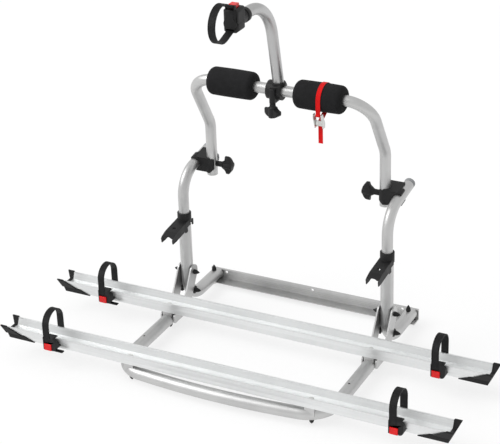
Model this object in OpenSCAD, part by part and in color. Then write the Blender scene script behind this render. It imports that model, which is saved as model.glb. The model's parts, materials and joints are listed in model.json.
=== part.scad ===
// Motorhome bike rack: two wheel rails on a folding platform, carried by a wall bar,
// with telescoping masts, a padded upper frame and one arm that holds the bikes.
// Origin: middle hole of the wall bar, on the face that lies against the wall.
// X runs along the wall bar, Y points into the wall, Z is up. Sizes are millimetres.

/* [Tubes] */
// Outside radius of the side tubes and of the platform tube
tube_r = 17.5; // [15:0.5:20]
// Outside radius of the masts, the upper frame and the bike arm
pole_r = 15; // [12:0.5:17]
// Wall thickness of the masts, the upper frame and the bike arm
pole_wall = 2; // [1.5:0.5:4]
// Distance from the middle to each side tube
side_x = 305; // [290:1:320]

/* [Fits] */
// Radial play of a shaft that turns or slides in its hole
run_fit = 0.04; // [0.02:0.01:0.05]
// Gap between two pieces that move past each other
gap = 0.35; // [0.3:0.05:0.6]
// Radial play of a bolt in its hole
bolt_fit = 0.25; // [0.1:0.05:0.5]
// How far a bend stands proud of the straight tube next to it
seam = 0.05; // [0.03:0.01:0.1]
// Length of straight tube that runs on into a bend
lap = 0.5; // [0.3:0.1:0.6]

/* [Wall bar] */
// How far the wall bar stands out past the middle of each side tube
bar_more = 20.5; // [18:0.5:55]
// Top of the web above the wall holes
bar_top = 8.5; // [8:0.5:12]
// Bottom of the bar below the wall holes
bar_low = 25.5; // [22:0.5:30]
// Depth of the bottom flange
bar_depth = 38; // [34:1:50]
// Thickness of web and flange
bar_wall = 4; // [3:0.5:5]
// Radius of the outer bottom corner
bar_corner = 7; // [5:0.5:9]
// Distance from the middle of a side tube to the outer hole beside it
hole_in = 28; // [24:1:45]
// Radius of the wall holes
hole_r = 4.25; // [3:0.25:5]
// Depth of the ribs on the front of the web
rib_depth = 1.2; // [0.8:0.1:2]
// Height of one rib
rib_h = 2; // [1:0.5:3]
// Distance between ribs
rib_pitch = 5; // [4:0.5:6]
// Ribs below the wall holes
rib_count = 3; // [1:1:3]
// Depth of the lip along the top of the web
lip_depth = 3; // [2:0.5:5]
// Height of that lip
lip_h = 3; // [2:0.5:5]

/* [Side tubes] */
// Height of the lower run below the wall holes
run_drop = 4; // [2:0.5:6]
// Depth at which the lower run starts to bend up
run_bend_y = 117; // [100:1:130]
// Centre line radius of the lower bend
run_bend_r = 70; // [60:1:80]
// Top of the side tube
tube_top = 256; // [245:1:262]

/* [Hooks] */
// Bottom of the collar
collar_z0 = 245; // [240:1:248]
// Top of the collar
collar_z1 = 274; // [270:1:280]
// Outside radius of the collar
collar_r = 19.5; // [19:0.5:22]
// Half the inner width between the flanks of a hook
hook_half = 16; // [15.5:0.1:16.5]
// Thickness of a hook's sheet
hook_wall = 2.2; // [1.5:0.1:3]
// Height of the plate's top where it meets the upright's axis
hook_top = 255.5; // [250:0.5:260]
// Depth of the flanks below the plate's top, at the collar
flank_h = 31; // [28:1:36]
// Rise of the crowned plate in its middle
hook_crown = 2.2; // [0:0.1:3]
// Depth of the flanks at the tips
tip_h = 21; // [18:1:26]
// Depth of the relief that clears the folded rail
relief_h = 23; // [20:1:25]
// Distance of the tips in front of the upright's axis
hook_reach = 106; // [100:1:110]
// Start of the relief in front of the upright's axis
relief_near = 34; // [30:1:40]
// End of the relief in front of the upright's axis
relief_far = 84; // [74:1:90]
// Radius of the drain hole in the plate
drain_r = 5; // [3:0.5:7]
// Distance of the drain hole from the upright's axis
drain_y = 60; // [50:1:70]
// Width of the small tab behind the collar
tab_w = 4; // [3:0.5:6]
// Length of that tab
tab_l = 18; // [10:1:24]

/* [Platform] */
// Height of the fold pivot above the wall holes
pivot_z = 90; // [85:1:95]
// Height of the platform tube's axis below the wall holes
deck_drop = 6; // [4:0.5:8]
// Turn from the open platform to the folded one
fold_turn = 83; // [80:1:85]
// Rear ends of the platform tube
deck_rear = 230; // [225:1:240]
// Depth at which the platform tube starts to bend in
deck_bend_y = 512; // [500:1:520]
// Centre line radius of the front corners
deck_bend_r = 83; // [70:1:95]
// Turn of the front corners
deck_turn = 83.4; // [80:0.1:86]
// Bore radius of the platform tube
deck_bore = 15; // [13:0.5:16]
// Radius of the drain hole on top of the platform tube
deck_hole_r = 3; // [2:0.5:4]
// Depth of that hole from the wall
deck_hole_y = 442; // [420:1:460]

/* [Braces] */
// Thickness of a brace plate
brace_t = 4; // [3:0.5:5]
// Half the width of a brace plate
brace_half = 21; // [18:0.5:23]
// Lean of the plate from vertical
brace_lean = 30; // [26:1:34]
// Length of the leaning part
brace_l = 111; // [105:1:116]
// Front end of the foot along the platform tube
foot_front = 312; // [300:1:320]
// Top of the foot above the wall holes
foot_top = 12; // [8:0.5:14]
// Bottom of the foot below the wall holes
foot_low = 16; // [12:0.5:20]
// Radius of the foot's corners
foot_r = 8; // [4:0.5:12]
// Depth of the stop bolt from the wall
stop_y = 184; // [182:0.5:186]
// Height of the stop bolt
stop_z = 30; // [28:0.5:32]
// Radius of the stop washer that the plate rests on
washer_r = 11.3; // [10:0.1:11.4]

/* [Fasteners] */
// Radius of all through bolts
bolt_r = 4; // [3:0.5:5]
// Radius of a bolt head
head_r = 7; // [6:0.5:9]
// Thickness of a bolt head
head_h = 4; // [2:0.5:6]
// Base radius of a pointed cap
cap_r = 7; // [6:0.5:9]
// Length of a pointed cap
cap_h = 18; // [14:1:22]
// Depth of the wall bolts in front of the wall
wall_bolt_y = 29; // [25:1:32]
// Depth of the rear bolt through the foot
foot_bolt_near = 243; // [238:1:248]
// Distance between the two bolts through the foot
foot_bolt_pitch = 24; // [18:1:30]

/* [Rails] */
// Half the length of a rail
rail_half = 633; // [600:1:650]
// Depth of the rear rail's middle from the wall
rear_rail_y = 297.5; // [290:0.5:305]
// Depth of the front rail's middle from the wall
front_rail_y = 584.2; // [570:0.1:595]
// Height of a rail's bottom above the wall holes
rail_z = 18.5; // [16:0.5:22]
// Height of a rail
rail_h = 37; // [32:1:42]
// Height of the narrow lower band
band_h = 16; // [12:1:20]
// Half the width of the lower band
band_half = 16.5; // [14:0.5:18]
// Half the width at the step
step_half = 22; // [20:0.5:24]
// Half the width at the top
top_half = 30; // [28:0.5:32]
// Wall thickness of a rail
rail_wall = 2.2; // [1.5:0.1:3]
// Thickness of the rolled lip along each top edge
rail_lip = 4; // [3:0.5:6]
// Distance of the front rail's bolts inward from the side tubes
front_bolt_in = 41.6; // [35:0.1:50]
// Half the width of a rail saddle along the tube
saddle_half = 15; // [10:1:20]
// Half the width of a rail saddle across the tube
saddle_across = 14; // [10:1:16]

/* [End caps] */
// How far a cap's top stands out past the rail
cap_out_top = 22; // [17:1:32]
// How far a cap's bottom stands out past the rail
cap_out_low = 3; // [1:1:12]
// How far a cap's tip reaches back along the rail's bottom
cap_back = 77; // [58:1:88]
// Wall thickness of a cap
cap_wall = 2.4; // [1.5:0.1:3]
// Width of the strip at the top of a cap
cap_strip = 19; // [14:1:24]
// Height of the swoosh where it starts to rise
cap_rise = 15; // [10:1:20]

/* [Wheel holders] */
// Distance from a rail's end to the middle of a wheel strap
holder_in = 133; // [123:1:153]
// Half the width of a wheel strap
wheel_strap_half = 10; // [8:0.5:12]
// Thickness of the straps
strap_t = 3; // [2:0.5:4]
// Half the span of a wheel strap
strap_span = 36; // [34:0.5:38]
// Offset of a wheel strap's middle from the rail's middle
strap_off = 3.3; // [2:0.1:4]
// Top of a wheel strap above the wall holes
strap_top = 127; // [120:1:145]
// Outer face of the buckle in front of the rail's middle
buckle_y = 41; // [39:0.5:44]
// Left end of the buckle from the strap's middle
buckle_left = 12; // [11:0.5:14]
// Right end of the buckle from the strap's middle
buckle_right = 28; // [22:1:32]
// Radius of the buckle's right end
buckle_round = 11; // [8:0.5:12]
// Bottom of the buckle above the wall holes
buckle_z0 = 19.5; // [19:0.5:24]
// Top of the buckle above the wall holes
buckle_z1 = 57; // [55:0.5:60]
// Button's left end from the strap's middle
button_left = 8; // [6:0.5:9]
// Button's right end from the strap's middle
button_right = 14.5; // [12:0.5:16]
// Button's height
button_h = 19.5; // [16:0.5:22]
// Button's standing height in front of the buckle
button_out = 2.6; // [2:0.1:4]
// Depth of the button's pocket
pocket = 5; // [4:0.5:6]
// Height of the strap's hinge pin
pin_z = 43; // [42:0.5:46]
// Depth of the strap's hinge pin behind the rail's middle
pin_y = 33; // [33:0.5:36]
// Radius of the hinge pins
pin_r = 2.5; // [2:0.25:3]
// Radius of the eye at the end of a strap
eye_r = 4.5; // [4:0.25:6]
// Thickness of the bridge under the rail
bridge_t = 3; // [2:0.5:4]
// Thickness of the hinge lugs
lug_t = 3; // [2:0.5:4]
// Length of the loose tail under the left buckles
tail_l = 16; // [10:1:20]

/* [Masts] */
// Lower end of a mast inside the side tube
mast_z0 = 100; // [80:1:110]
// Height at which a mast bends back
mast_bend_z = 320; // [310:1:330]
// Centre line radius of the mast's bend
mast_bend_r = 72; // [65:1:80]
// Turn of the mast's bend
mast_turn = 81; // [78:1:90]
// Straight tube behind the bend
mast_back = 86; // [80:1:110]
// Length of the plug that closes a mast
plug_l = 19; // [12:1:24]
// Ball radius of the plug's end
plug_ball = 19; // [17:0.5:24]
// Width of the dark seat line between mast and plug
plug_line = 1; // [0.5:0.1:1.5]

/* [Upper frame] */
// Distance from the middle of a side tube to the frame's leg beside it
leg_in = 45; // [40:1:55]
// Depth of the legs from the wall
leg_y = 94; // [90:1:100]
// Lower end of the legs
leg_z0 = 360; // [350:1:370]
// Height at which the legs bend forward
leg_z1 = 499; // [490:1:510]
// Centre line radius of that bend
lean_r = 58; // [50:1:66]
// Lean of the upper part
lean = 30.4; // [26:0.1:34]
// Length of the leaning part up to the top bar
slant = 184.3; // [170:0.1:190]
// Centre line radius of the top corners
corner_r = 69; // [60:1:80]

/* [Side clamps] */
// Start of the sleeve along the straight end of the mast
sleeve_at = 12; // [12:1:20]
// Length of the sleeve
sleeve_l = 28; // [20:1:34]
// Length of the inner web along the mast
web_l = 56; // [46:1:60]
// Open side of the sleeve, from the mast's axis outwards
sleeve_open = 9.5; // [8:0.5:12]
// Height of the chamfer under the saddle's open side
saddle_cut = 11; // [6:1:14]
// Outside radius of the sleeve
sleeve_r = 20; // [18:0.5:23]
// Height of the knob bolt above the wall holes
knob_z = 394; // [390:1:398]
// Outside radius of the saddle round the leg
saddle_r = 19.5; // [18:0.5:22]
// Height of the saddle below the knob bolt
saddle_low = 25; // [18:1:28]
// Height of the saddle above the knob bolt
saddle_high = 16; // [12:1:20]
// Open side of the saddle, from the leg's axis towards the middle
saddle_open = 12; // [4:0.5:13]
// Distance of the shoe from the leg's axis
shoe_x = 6; // [4:0.5:8]
// Width of the shoe behind the leg
shoe_w = 9; // [6:0.5:12]
// Height of the shoe
shoe_h = 19; // [14:1:22]
// Depth of the shoe
shoe_d = 12; // [8:1:16]

/* [Knobs] */
// Radius of a knob's neck
neck_r = 8; // [6:0.5:9]
// Length of a side knob's neck
neck_l = 22; // [16:1:26]
// Half the length of a knob's wing
wing_half = 27.5; // [24:0.5:30]
// Radius of the wing's ends
wing_r = 8.5; // [7:0.5:10]
// Radius of the knob's hub
hub_r = 12; // [10:0.5:14]
// Height of a knob's head
head_top = 27; // [22:0.5:30]
// Radius of the hollow under each wing
wing_scoop = 14; // [10:1:18]
// Radius of the rounding over a knob's outer face
wing_round = 34; // [30:1:44]
// Turn of the side knobs' wings from upright
wing_turn = 6; // [0:1:90]
// Turn of the arm knob's wings from the bar
arm_wing_turn = 19; // [0:1:90]
// Radius of the knobs' bolts
knob_bolt_r = 3.5; // [3:0.5:4]

/* [Pads] */
// Outside radius of a foam pad
pad_r = 38; // [34:1:42]
// Rounding of the pad's ends
pad_round = 16; // [10:1:18]
// Outer end of the left pad, as a share of the straight half of the top bar
left_out_share = 1.0366; // [0.99:0.0001:1.04]
// Inner end of the left pad, as a share of the straight half of the top bar
left_in_share = 0.3351; // [0.32:0.0001:0.42]
// Inner end of the right pad, as a share of the straight half of the top bar
right_in_share = 0.2775; // [0.27:0.0001:0.35]
// Outer end of the right pad, as a share of the straight half of the top bar
right_out_share = 0.9948; // [0.92:0.0001:1]

/* [Red strap] */
// Place of the strap along the right pad, as a share of the pad's length
loop_share = 0.5693; // [0.45:0.0001:0.65]
// Width of the strap
loop_w = 13; // [12:1:20]
// Thickness of the strap
loop_t = 1.6; // [1:0.1:2.5]
// Lower end of the tail
tail_z0 = 563; // [550:1:570]
// Depth of the tail in front of the bar's axis
tail_y = 24; // [20:1:28]
// Height of the tail's upper end below the bar's axis
tail_drop = 56; // [54:1:60]
// Half the width of the strap buckle
cam_half = 12; // [10:0.5:14]
// Upper end of the strap buckle
cam_z1 = 656; // [650:1:660]
// Lower end of the strap buckle
cam_z0 = 614; // [608:1:620]
// Thickness of the buckle's sheet
cam_t = 1.6; // [1:0.1:2]
// Depth of the buckle's cheeks
cam_cheek = 22; // [20:0.5:24]
// Radius of the cam's roller
cam_r = 4; // [3:0.5:5]
// Radius of the cam's pin
cam_pin = 1.8; // [1:0.1:2]
// Height of the cam's pin
cam_pin_z = 623; // [618:1:626]

/* [Arm clamp] */
// Middle of the clamp along the bar
arm_clamp_x = -5.5; // [-8:0.5:-3]
// Half the length of the clamp along the bar
arm_clamp_half = 21; // [18:0.5:23]
// Outside radius of the clamp round the bar
arm_clamp_r = 25; // [23:0.5:27]
// Gap between the clamp's two halves
split = 1; // [0.5:0.1:2]
// Outside radius of the socket for the arm
socket_r = 19.5; // [18:0.5:21]
// Height of the socket's rim above the bar's axis
socket_h = 23; // [20:1:30]
// Distance of the knob bolt in front of the bar's axis
boss_y = 28; // [26:0.5:30]
// Radius of the boss round the knob bolt
boss_r = 8.5; // [8:0.5:10]
// Top of the boss above the bar's axis
boss_top = 13; // [8:1:18]
// Bottom of the clamp below the bar's axis
boss_low = 26; // [25:1:32]
// Length of the spigot inside the arm
spigot_l = 30; // [20:1:40]
// Length of the arm knob's neck
arm_neck_l = 12; // [8:1:16]
// Middle of the arm knob along the bar
arm_knob_x = -3; // [-5:0.5:0]

/* [Bike arm] */
// Middle of the arm along the bar
arm_x = 1; // [-3:0.5:3]
// Lower end of the arm above the bar's axis
arm_base = 17; // [17:0.5:20]
// Lean of the arm's straight part
arm_lean = 11.5; // [8:0.5:15]
// Length of the straight part
arm_l = 148; // [120:1:170]
// Centre line radius of the arm's arc
arm_bend_r = 128; // [100:1:150]
// Straight end inside the head
arm_tip = 56; // [48:1:60]
// Radius of the collar on the arm
ring_r = 19; // [17:0.5:21]
// Distance from the arc's end to the collar
ring_at = 20; // [10:1:24]
// Length of the collar
ring_l = 14; // [10:1:18]

/* [Frame head] */
// Half the width of the head
jaw_half = 20; // [18:0.5:23]
// Depth of the head's block along the arm
jaw_l = 49; // [42:1:54]
// Top of the head above the arm's axis
jaw_top = 37; // [32:1:42]
// Bottom of the head below the arm's axis
jaw_low = 25; // [22:1:30]
// Radius of the head's upper edges
jaw_r = 9; // [6:0.5:12]
// Radius of the jaw's lower edges
jaw_low_r = 14; // [8:0.5:17]
// Radius of the head's upright edges
jaw_edge = 11; // [6:0.5:14]
// Height of the strap's slot below the arm's axis
slot_drop = 18; // [14:1:22]
// Height of that slot
slot_h = 10; // [8:0.5:12]
// Depth of that slot
slot_l = 16; // [12:1:20]
// Distance from the collar to the block
neck_gap = 20; // [14:1:26]
// Radius of the neck behind the block
head_neck_r = 17.5; // [17:0.5:20]
// Height of the strap's pin above the arm's axis
head_pin_z = 43; // [40:1:46]
// Distance of the strap's pin behind the block's face
head_pin_y = 7; // [5:0.5:9]
// Centre of the strap's loop in front of the block
loop_y = 46; // [40:1:52]
// Height of the loop's centre above the arm's axis
loop_z = 17; // [10:1:24]
// Centre line radius of the loop
head_loop_r = 47; // [42:1:52]
// Half the width of the head's strap
head_strap_half = 10; // [8:0.5:12]
// Length of the strap's end inside the slot
lower_run = 7; // [5:1:9]
// Half the side of the red button
red_half = 10; // [8:0.5:12]
// Height of the red button above the head
red_out = 9; // [5:0.5:12]
// Depth of the red button's pocket
red_pocket = 8; // [6:0.5:10]

/* [Hidden] */
eps = tube_r / 50;
// Half the length of the wall bar
bar_half = side_x + bar_more;
// Distance from the middle hole to each outer hole
hole_pitch = side_x - hole_in;
// Distance from the middle to each leg
leg_x = side_x - leg_in;
// Distance from the middle to the front rail's bolts
front_bolt_x = side_x - front_bolt_in;
// Half the length of the top bar between its corners
top_run = leg_x - corner_r;
// Ends of the two pads
pad_l0 = -top_run * left_out_share;
pad_l1 = -top_run * left_in_share;
pad_r0 = top_run * right_in_share;
pad_r1 = top_run * right_out_share;
// Middle of the red strap along the bar
loop_x = pad_r0 + (pad_r1 - pad_r0) * loop_share;
// Ends of a rail's caps and the middle of a wheel strap
cap_end_top = rail_half + cap_out_top;
cap_end_low = rail_half + cap_out_low;
cap_tip = rail_half - cap_back;
holder_x = rail_half - holder_in;
far = 4 * rail_half;
smooth = 48;
wide_smooth = 1440;
$fn = smooth;
bore_r = pole_r + run_fit;
upright_y = -run_bend_y - run_bend_r;
run_z = -run_drop;
run_rear = bar_wall + lip_depth + gap;
deck_z = -deck_drop;
lean_y = -leg_y - lean_r * (1 - cos(lean));
lean_z = leg_z1 + lean_r * sin(lean);
bar_y = lean_y - slant * sin(lean);
bar_z = lean_z + slant * cos(lean);
mast_end = [upright_y + mast_bend_r * (1 - cos(mast_turn)), mast_bend_z + mast_bend_r * sin(mast_turn)];
mast_dir = [sin(mast_turn), cos(mast_turn)];
arm_start = [bar_y + arm_base * tan(arm_lean) / 2, bar_z + arm_base];
arm_knee = arm_start + arm_l * [-sin(arm_lean), cos(arm_lean)];
arm_centre = arm_knee - arm_bend_r * [cos(arm_lean), sin(arm_lean)];
arm_end = arm_centre + [0, arm_bend_r];
ring_y = arm_end[0] - ring_at;
block_y = ring_y - ring_l - neck_gap;
face_y = block_y - jaw_l;
head_z = arm_end[1];
step_z = rail_z + band_h;
rail_top = rail_z + rail_h;
button_z0 = buckle_z0 + gap;
button_z1 = button_z0 + button_h;
deck_arc = (side_x - deck_bend_r * (1 - cos(deck_turn))) / cos(deck_turn);
lap_turn = lap / deck_arc * 180 / PI;
deck_front = -deck_bend_y - deck_bend_r * sin(deck_turn) - deck_arc * (1 - sin(deck_turn));
fold_arm = pivot_z - deck_z;
hook_lean = 90 - fold_turn;

// Turns the drawing plane so that its X is the object's Y and its Y the object's Z
module side_plane() rotate([90, 0, 90]) children();

// A straight rod in the drawing plane, with extra length before its start and after its end
module rod(p, turn, l, r, before = 0, after = 0) translate([p[0], p[1], 0]) rotate([0, 0, turn])
  translate([-before, 0, 0]) rotate([0, 90, 0]) cylinder(h = l + before + after, r = r - seam);

// A bent rod in the drawing plane
module bend(c, big, from, turn, r, steps = smooth) translate([c[0], c[1], 0]) rotate([0, 0, from])
  rotate_extrude(angle = turn, $fn = steps) translate([big, 0]) circle(r = r, $fn = smooth);

// Repeats its children at both side tubes
module both_sides(x = side_x) for (s = [-1, 1]) translate([s * x, 0, 0]) children();

// A rod along X with its middle at x = 0
module cross_rod(y, z, l, r) translate([-l / 2, y, z]) rotate([0, 90, 0]) cylinder(h = l, r = r);

// A pointed cap standing on z = 0
module pointed_cap(r, h) intersection() {
  cylinder(h = h, r = r);
  rotate_extrude() intersection() {
    translate([r - (r * r + h * h) / (2 * r), 0]) circle(r = (r * r + h * h) / (2 * r));
    square([r, h]);
  }
}

// The L shaped section of the wall bar
module bar_section() {
  difference() {
    translate([-bar_depth, -bar_low]) square([bar_depth, bar_top + bar_low]);
    translate([-bar_depth, bar_wall - bar_low]) square([bar_depth - bar_wall, bar_top + bar_low]);
    difference() {
      translate([-bar_depth, -bar_low]) square(bar_wall);
      translate([bar_wall - bar_depth, bar_wall - bar_low]) circle(r = bar_wall);
    }
  }
  translate([-bar_wall - lip_depth, bar_top - lip_h]) square([lip_depth + eps, lip_h]);
}

module wall_bar() color("silver") difference() {
  union() {
    translate([-bar_half, 0, 0]) side_plane() linear_extrude(2 * bar_half) bar_section();
    for (i = [0 : rib_count - 1])
      translate([-bar_half + tube_r * 3, -bar_wall - rib_depth, -hole_r - rib_h - i * rib_pitch])
        cube([2 * bar_half - tube_r * 6, rib_depth + eps, rib_h]);
  }
  for (x = [-hole_pitch, 0, hole_pitch]) translate([x, eps, 0]) rotate([90, 0, 0]) cylinder(h = bar_depth, r = hole_r);
  both_sides() translate([0, -wall_bolt_y, -bar_low - eps]) cylinder(h = 2 * bar_wall, r = bolt_r + bolt_fit);
}

// The path of a side tube, used for the tube and for its bore
module side_path(r, more) side_plane() {
  rod([-run_bend_y, run_z], 0, run_bend_y - run_rear + more, r, lap);
  bend([-run_bend_y, run_z + run_bend_r], run_bend_r, 180, 90, r);
  rod([upright_y, run_z + run_bend_r], 90, tube_top - run_z - run_bend_r + more, r, lap);
}

module side_tube() color("gainsboro") difference() {
  side_path(tube_r, 0);
  side_path(bore_r, eps);
  cross_rod(upright_y, pivot_z, 3 * tube_r, bolt_r + bolt_fit);
  cross_rod(-stop_y, stop_z, 3 * tube_r, bolt_r + bolt_fit);
  translate([0, -wall_bolt_y, run_z - 2 * tube_r]) cylinder(h = 4 * tube_r, r = bolt_r + bolt_fit);
}

// Top line of a hook's plate, from the collar to the tips, lowered by a given amount
function plate_line(less) = [[0, -less], [-relief_near - drain_r, hook_crown - less], [-relief_far + drain_r, hook_crown - less],
  [-hook_reach + drain_r, -hook_wall - less]];

// Side outline of a hook, in front of the upright's axis and below the plate's top
function flank_points() = concat(plate_line(0), [[-hook_reach, -tip_h / 3], [-hook_reach, -tip_h + hook_wall],
  [-hook_reach + hook_wall, -tip_h], [-relief_far - hook_wall, -tip_h - hook_wall], [-relief_far, -relief_h],
  [-relief_near, -relief_h], [-relief_near + hook_wall, -flank_h + hook_wall], [-tube_r - gap - hook_wall, -flank_h],
  [-tube_r - gap, -flank_h + hook_wall], [-tube_r - gap, hook_wall - collar_r], [0, hook_wall - collar_r]]);

// The hollow under the plate, open at the bottom and at the tips
function hollow_points() = concat(plate_line(hook_wall), [[-2 * hook_reach, -tip_h / 3], [-2 * hook_reach, -2 * flank_h], [0, -2 * flank_h]]);

module hook() color("black") difference() {
  union() {
    translate([0, upright_y, collar_z0]) cylinder(h = collar_z1 - collar_z0, r = collar_r);
    intersection() {
      translate([-hook_half - hook_wall, upright_y, hook_top]) rotate([hook_lean, 0, 0]) side_plane()
        linear_extrude(2 * (hook_half + hook_wall)) polygon(flank_points());
      translate([0, upright_y - hook_reach, collar_z0 - flank_h]) hook_plan();
    }
  }
  translate([0, upright_y, collar_z0 - eps]) cylinder(h = tube_top - collar_z0 + gap, r = tube_r + run_fit);
  translate([0, upright_y, 0]) cylinder(h = collar_z1 + eps, r = bore_r);
  translate([0, upright_y, 0]) cylinder(h = collar_z0, r = tube_r + run_fit);
  translate([0, upright_y, hook_top]) rotate([hook_lean, 0, 0]) {
    translate([-hook_half, 0, 0]) side_plane() linear_extrude(2 * hook_half) polygon(hollow_points());
    translate([0, -drain_y, -flank_h]) cylinder(h = 2 * flank_h, r = drain_r);
  }
  folded_tube(gap);
}

// Plan outline of a hook: parallel flanks with rounded front corners
module hook_plan() linear_extrude(2 * flank_h) union() {
  translate([-hook_half - hook_wall, hook_wall]) square([2 * (hook_half + hook_wall), hook_reach]);
  translate([-hook_half, 0]) square([2 * hook_half, hook_wall + eps]);
  for (s = [-1, 1]) translate([s * hook_half, hook_wall]) circle(r = hook_wall);
}

// The room that the platform tube takes when it is folded up
module folded_tube(more) translate([0, upright_y, pivot_z]) rotate([-fold_turn, 0, 0])
  translate([0, 0, -fold_arm]) rotate([90, 0, 0]) cylinder(h = far / 4, r = tube_r + more);

// The small tab that hangs behind a collar, on the inner side
module hook_tab() color("black") translate([-tab_w / 2, upright_y + collar_r / 2, collar_z0 - 3 * tab_l / 4])
  difference() {
    cube([tab_w, collar_r / 2, tab_l]);
    translate([-eps, -eps, -eps]) cube([tab_w + 2 * eps, collar_r / 4, tab_l / 2]);
  }

module hook_at(s) translate([s * side_x, 0, 0]) {
  hook();
  translate([-s * (collar_r - tab_w), 0, 0]) hook_tab();
}

module wall_bolts() color("silver") both_sides() translate([0, -wall_bolt_y, 0]) {
  translate([0, 0, -bar_low - head_h]) cylinder(h = head_h, r = head_r, $fn = 6);
  translate([0, 0, -bar_low - eps]) cylinder(h = bar_low + run_z + tube_r + head_h, r = bolt_r);
}

module wall_bolt_caps() color("black") both_sides() translate([0, -wall_bolt_y, run_z + tube_r]) cap_on_bolt(head_h);

// A pointed cap that sits over the end of a bolt
module cap_on_bolt(l) difference() {
  pointed_cap(cap_r, cap_h);
  translate([0, 0, -eps]) cylinder(h = l + eps, r = bolt_r);
}

brace_x = tube_r + gap;
brace_out = brace_x + brace_t;
// Length of a pivot bolt or stop bolt from cap to cap
bolt_span = 2 * (brace_out + gap);

module pivot_bolts() color("silver") both_sides() cross_rod(upright_y, pivot_z, bolt_span + 2 * head_h, bolt_r);

// Caps on both ends of a cross bolt
module cross_caps(y, z, half) for (s = [-1, 1])
  translate([s * half, y, z]) rotate([0, s * 90, 0]) cap_on_bolt(head_h);

module pivot_bolt_caps() color("black") both_sides() cross_caps(upright_y, pivot_z, bolt_span / 2);

module stop_bolts() color("silver") both_sides() cross_rod(-stop_y, stop_z, 2 * brace_out + 2 * head_h, bolt_r);

module stop_bolt_caps() color("black") both_sides() {
  cross_caps(-stop_y, stop_z, brace_out);
  difference() {
    cross_rod(-stop_y, stop_z, 2 * brace_out, washer_r);
    cross_rod(-stop_y, stop_z, 2 * tube_r, 2 * washer_r);
    cross_rod(-stop_y, stop_z, 3 * brace_out, bolt_r);
  }
}

// The path of a mast, used for the tube and for its bore
module mast_path(r, more) side_plane() {
  rod([upright_y, mast_z0], 90, mast_bend_z - mast_z0, r, more, lap);
  bend([upright_y + mast_bend_r, mast_bend_z], mast_bend_r, 180 - mast_turn, mast_turn, r);
  rod(mast_end, 90 - mast_turn, mast_back, r, lap, more);
}

module mast() color("gainsboro") difference() {
  mast_path(pole_r, 0);
  mast_path(pole_r - pole_wall, eps);
}

// Places its children at a distance along the straight end of a mast, pointing along it
module on_mast(l) translate([0, mast_end[0] + l * mast_dir[0], mast_end[1] + l * mast_dir[1]])
  rotate([-mast_turn, 0, 0]) children();

module mast_plugs() color("lightgray") both_sides() on_mast(mast_back) {
  intersection() {
    translate([0, 0, plug_line]) cylinder(h = plug_l - plug_line, r = pole_r);
    translate([0, 0, plug_l - plug_ball]) sphere(r = plug_ball);
  }
  translate([0, 0, -plug_l]) cylinder(h = plug_l + 2 * plug_line, r = pole_r - pole_wall - seam - run_fit);
}

// One side clamp, drawn for the right side
module side_clamp() color("black") difference() {
  union() {
    translate([side_x, 0, 0]) on_mast(sleeve_at) cylinder(h = sleeve_l, r = sleeve_r);
    translate([leg_x, -leg_y, knob_z - saddle_low]) cylinder(h = saddle_low + saddle_high, r = saddle_r);
    translate([leg_x, 0, 0]) intersection() {
      on_mast(sleeve_at) translate([0, -sleeve_r, 0]) cube([side_x - leg_x - lap, 2 * sleeve_r, web_l]);
      translate([0, -leg_y - saddle_r, knob_z - saddle_low]) cube([side_x - leg_x, far, saddle_low + 2 * saddle_high]);
    }
    translate([leg_x, -leg_y - pole_r, knob_z - saddle_low])
      cube([side_x - leg_x - 2 * lap, 2 * pole_r - lap, saddle_low + saddle_high]);
  }
  translate([side_x, 0, 0]) on_mast(-sleeve_at) cylinder(h = far / 10, r = bore_r);
  translate([side_x, 0, 0]) mast_path(bore_r, 0);
  translate([side_x + sleeve_open, -far / 2, knob_z - far / 2]) cube([far, far, far]);
  translate([leg_x, -leg_y, knob_z - 2 * saddle_low]) cylinder(h = 4 * saddle_low, r = pole_r + run_fit);
  translate([leg_x - saddle_open - 2 * saddle_r, -leg_y - 2 * saddle_r, knob_z - 2 * saddle_low])
    cube([2 * saddle_r, 4 * saddle_r, 4 * saddle_low]);
  translate([leg_x - saddle_r, -leg_y + 2 * saddle_r, knob_z - saddle_low]) rotate([90, 0, 0]) linear_extrude(4 * saddle_r)
    polygon([[-eps, -eps], [saddle_r, -eps], [saddle_r - saddle_open, saddle_cut], [-eps, saddle_cut]]);
  translate([leg_x, -leg_y, knob_z]) rotate([0, 90, 0]) cylinder(h = side_x - leg_x - pole_r, r = knob_bolt_r + run_fit);
}

module clamp_shoes() color("lightgray") both_sides(leg_x + shoe_x) on_mast(sleeve_at + web_l + gap) {
  translate([-shoe_w / 2, 0, 0]) cube([shoe_w, shoe_h, shoe_d - shoe_w / 2]);
  translate([0, shoe_w / 2, shoe_d - shoe_w / 2 - eps]) rotate([-90, 0, 0]) cylinder(h = shoe_h - shoe_w, r = shoe_w / 2);
}

// Head of a wing knob, standing on z = 0 with its neck below
module wing_knob(neck) {
  intersection() {
    linear_extrude(head_top) union() {
      circle(r = hub_r);
      for (s = [-1, 1]) translate([s * (wing_half - wing_r), 0]) circle(r = wing_r);
      square([2 * (wing_half - wing_r), 2 * wing_r], center = true);
    }
    difference() {
      translate([0, 0, head_top - wing_round]) rotate([90, 0, 0]) translate([0, 0, -wing_half]) cylinder(h = 2 * wing_half, r = wing_round);
      for (s = [-1, 1]) translate([s * (neck_r + wing_scoop), hub_r + eps, -wing_scoop / 2]) rotate([90, 0, 0])
        cylinder(h = 2 * (hub_r + eps), r = wing_scoop);
    }
  }
  translate([0, 0, -neck]) cylinder(h = neck + eps, r = neck_r);
  translate([0, 0, -neck / 3]) cylinder(h = neck / 3 + eps, r1 = neck_r, r2 = hub_r);
}

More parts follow.
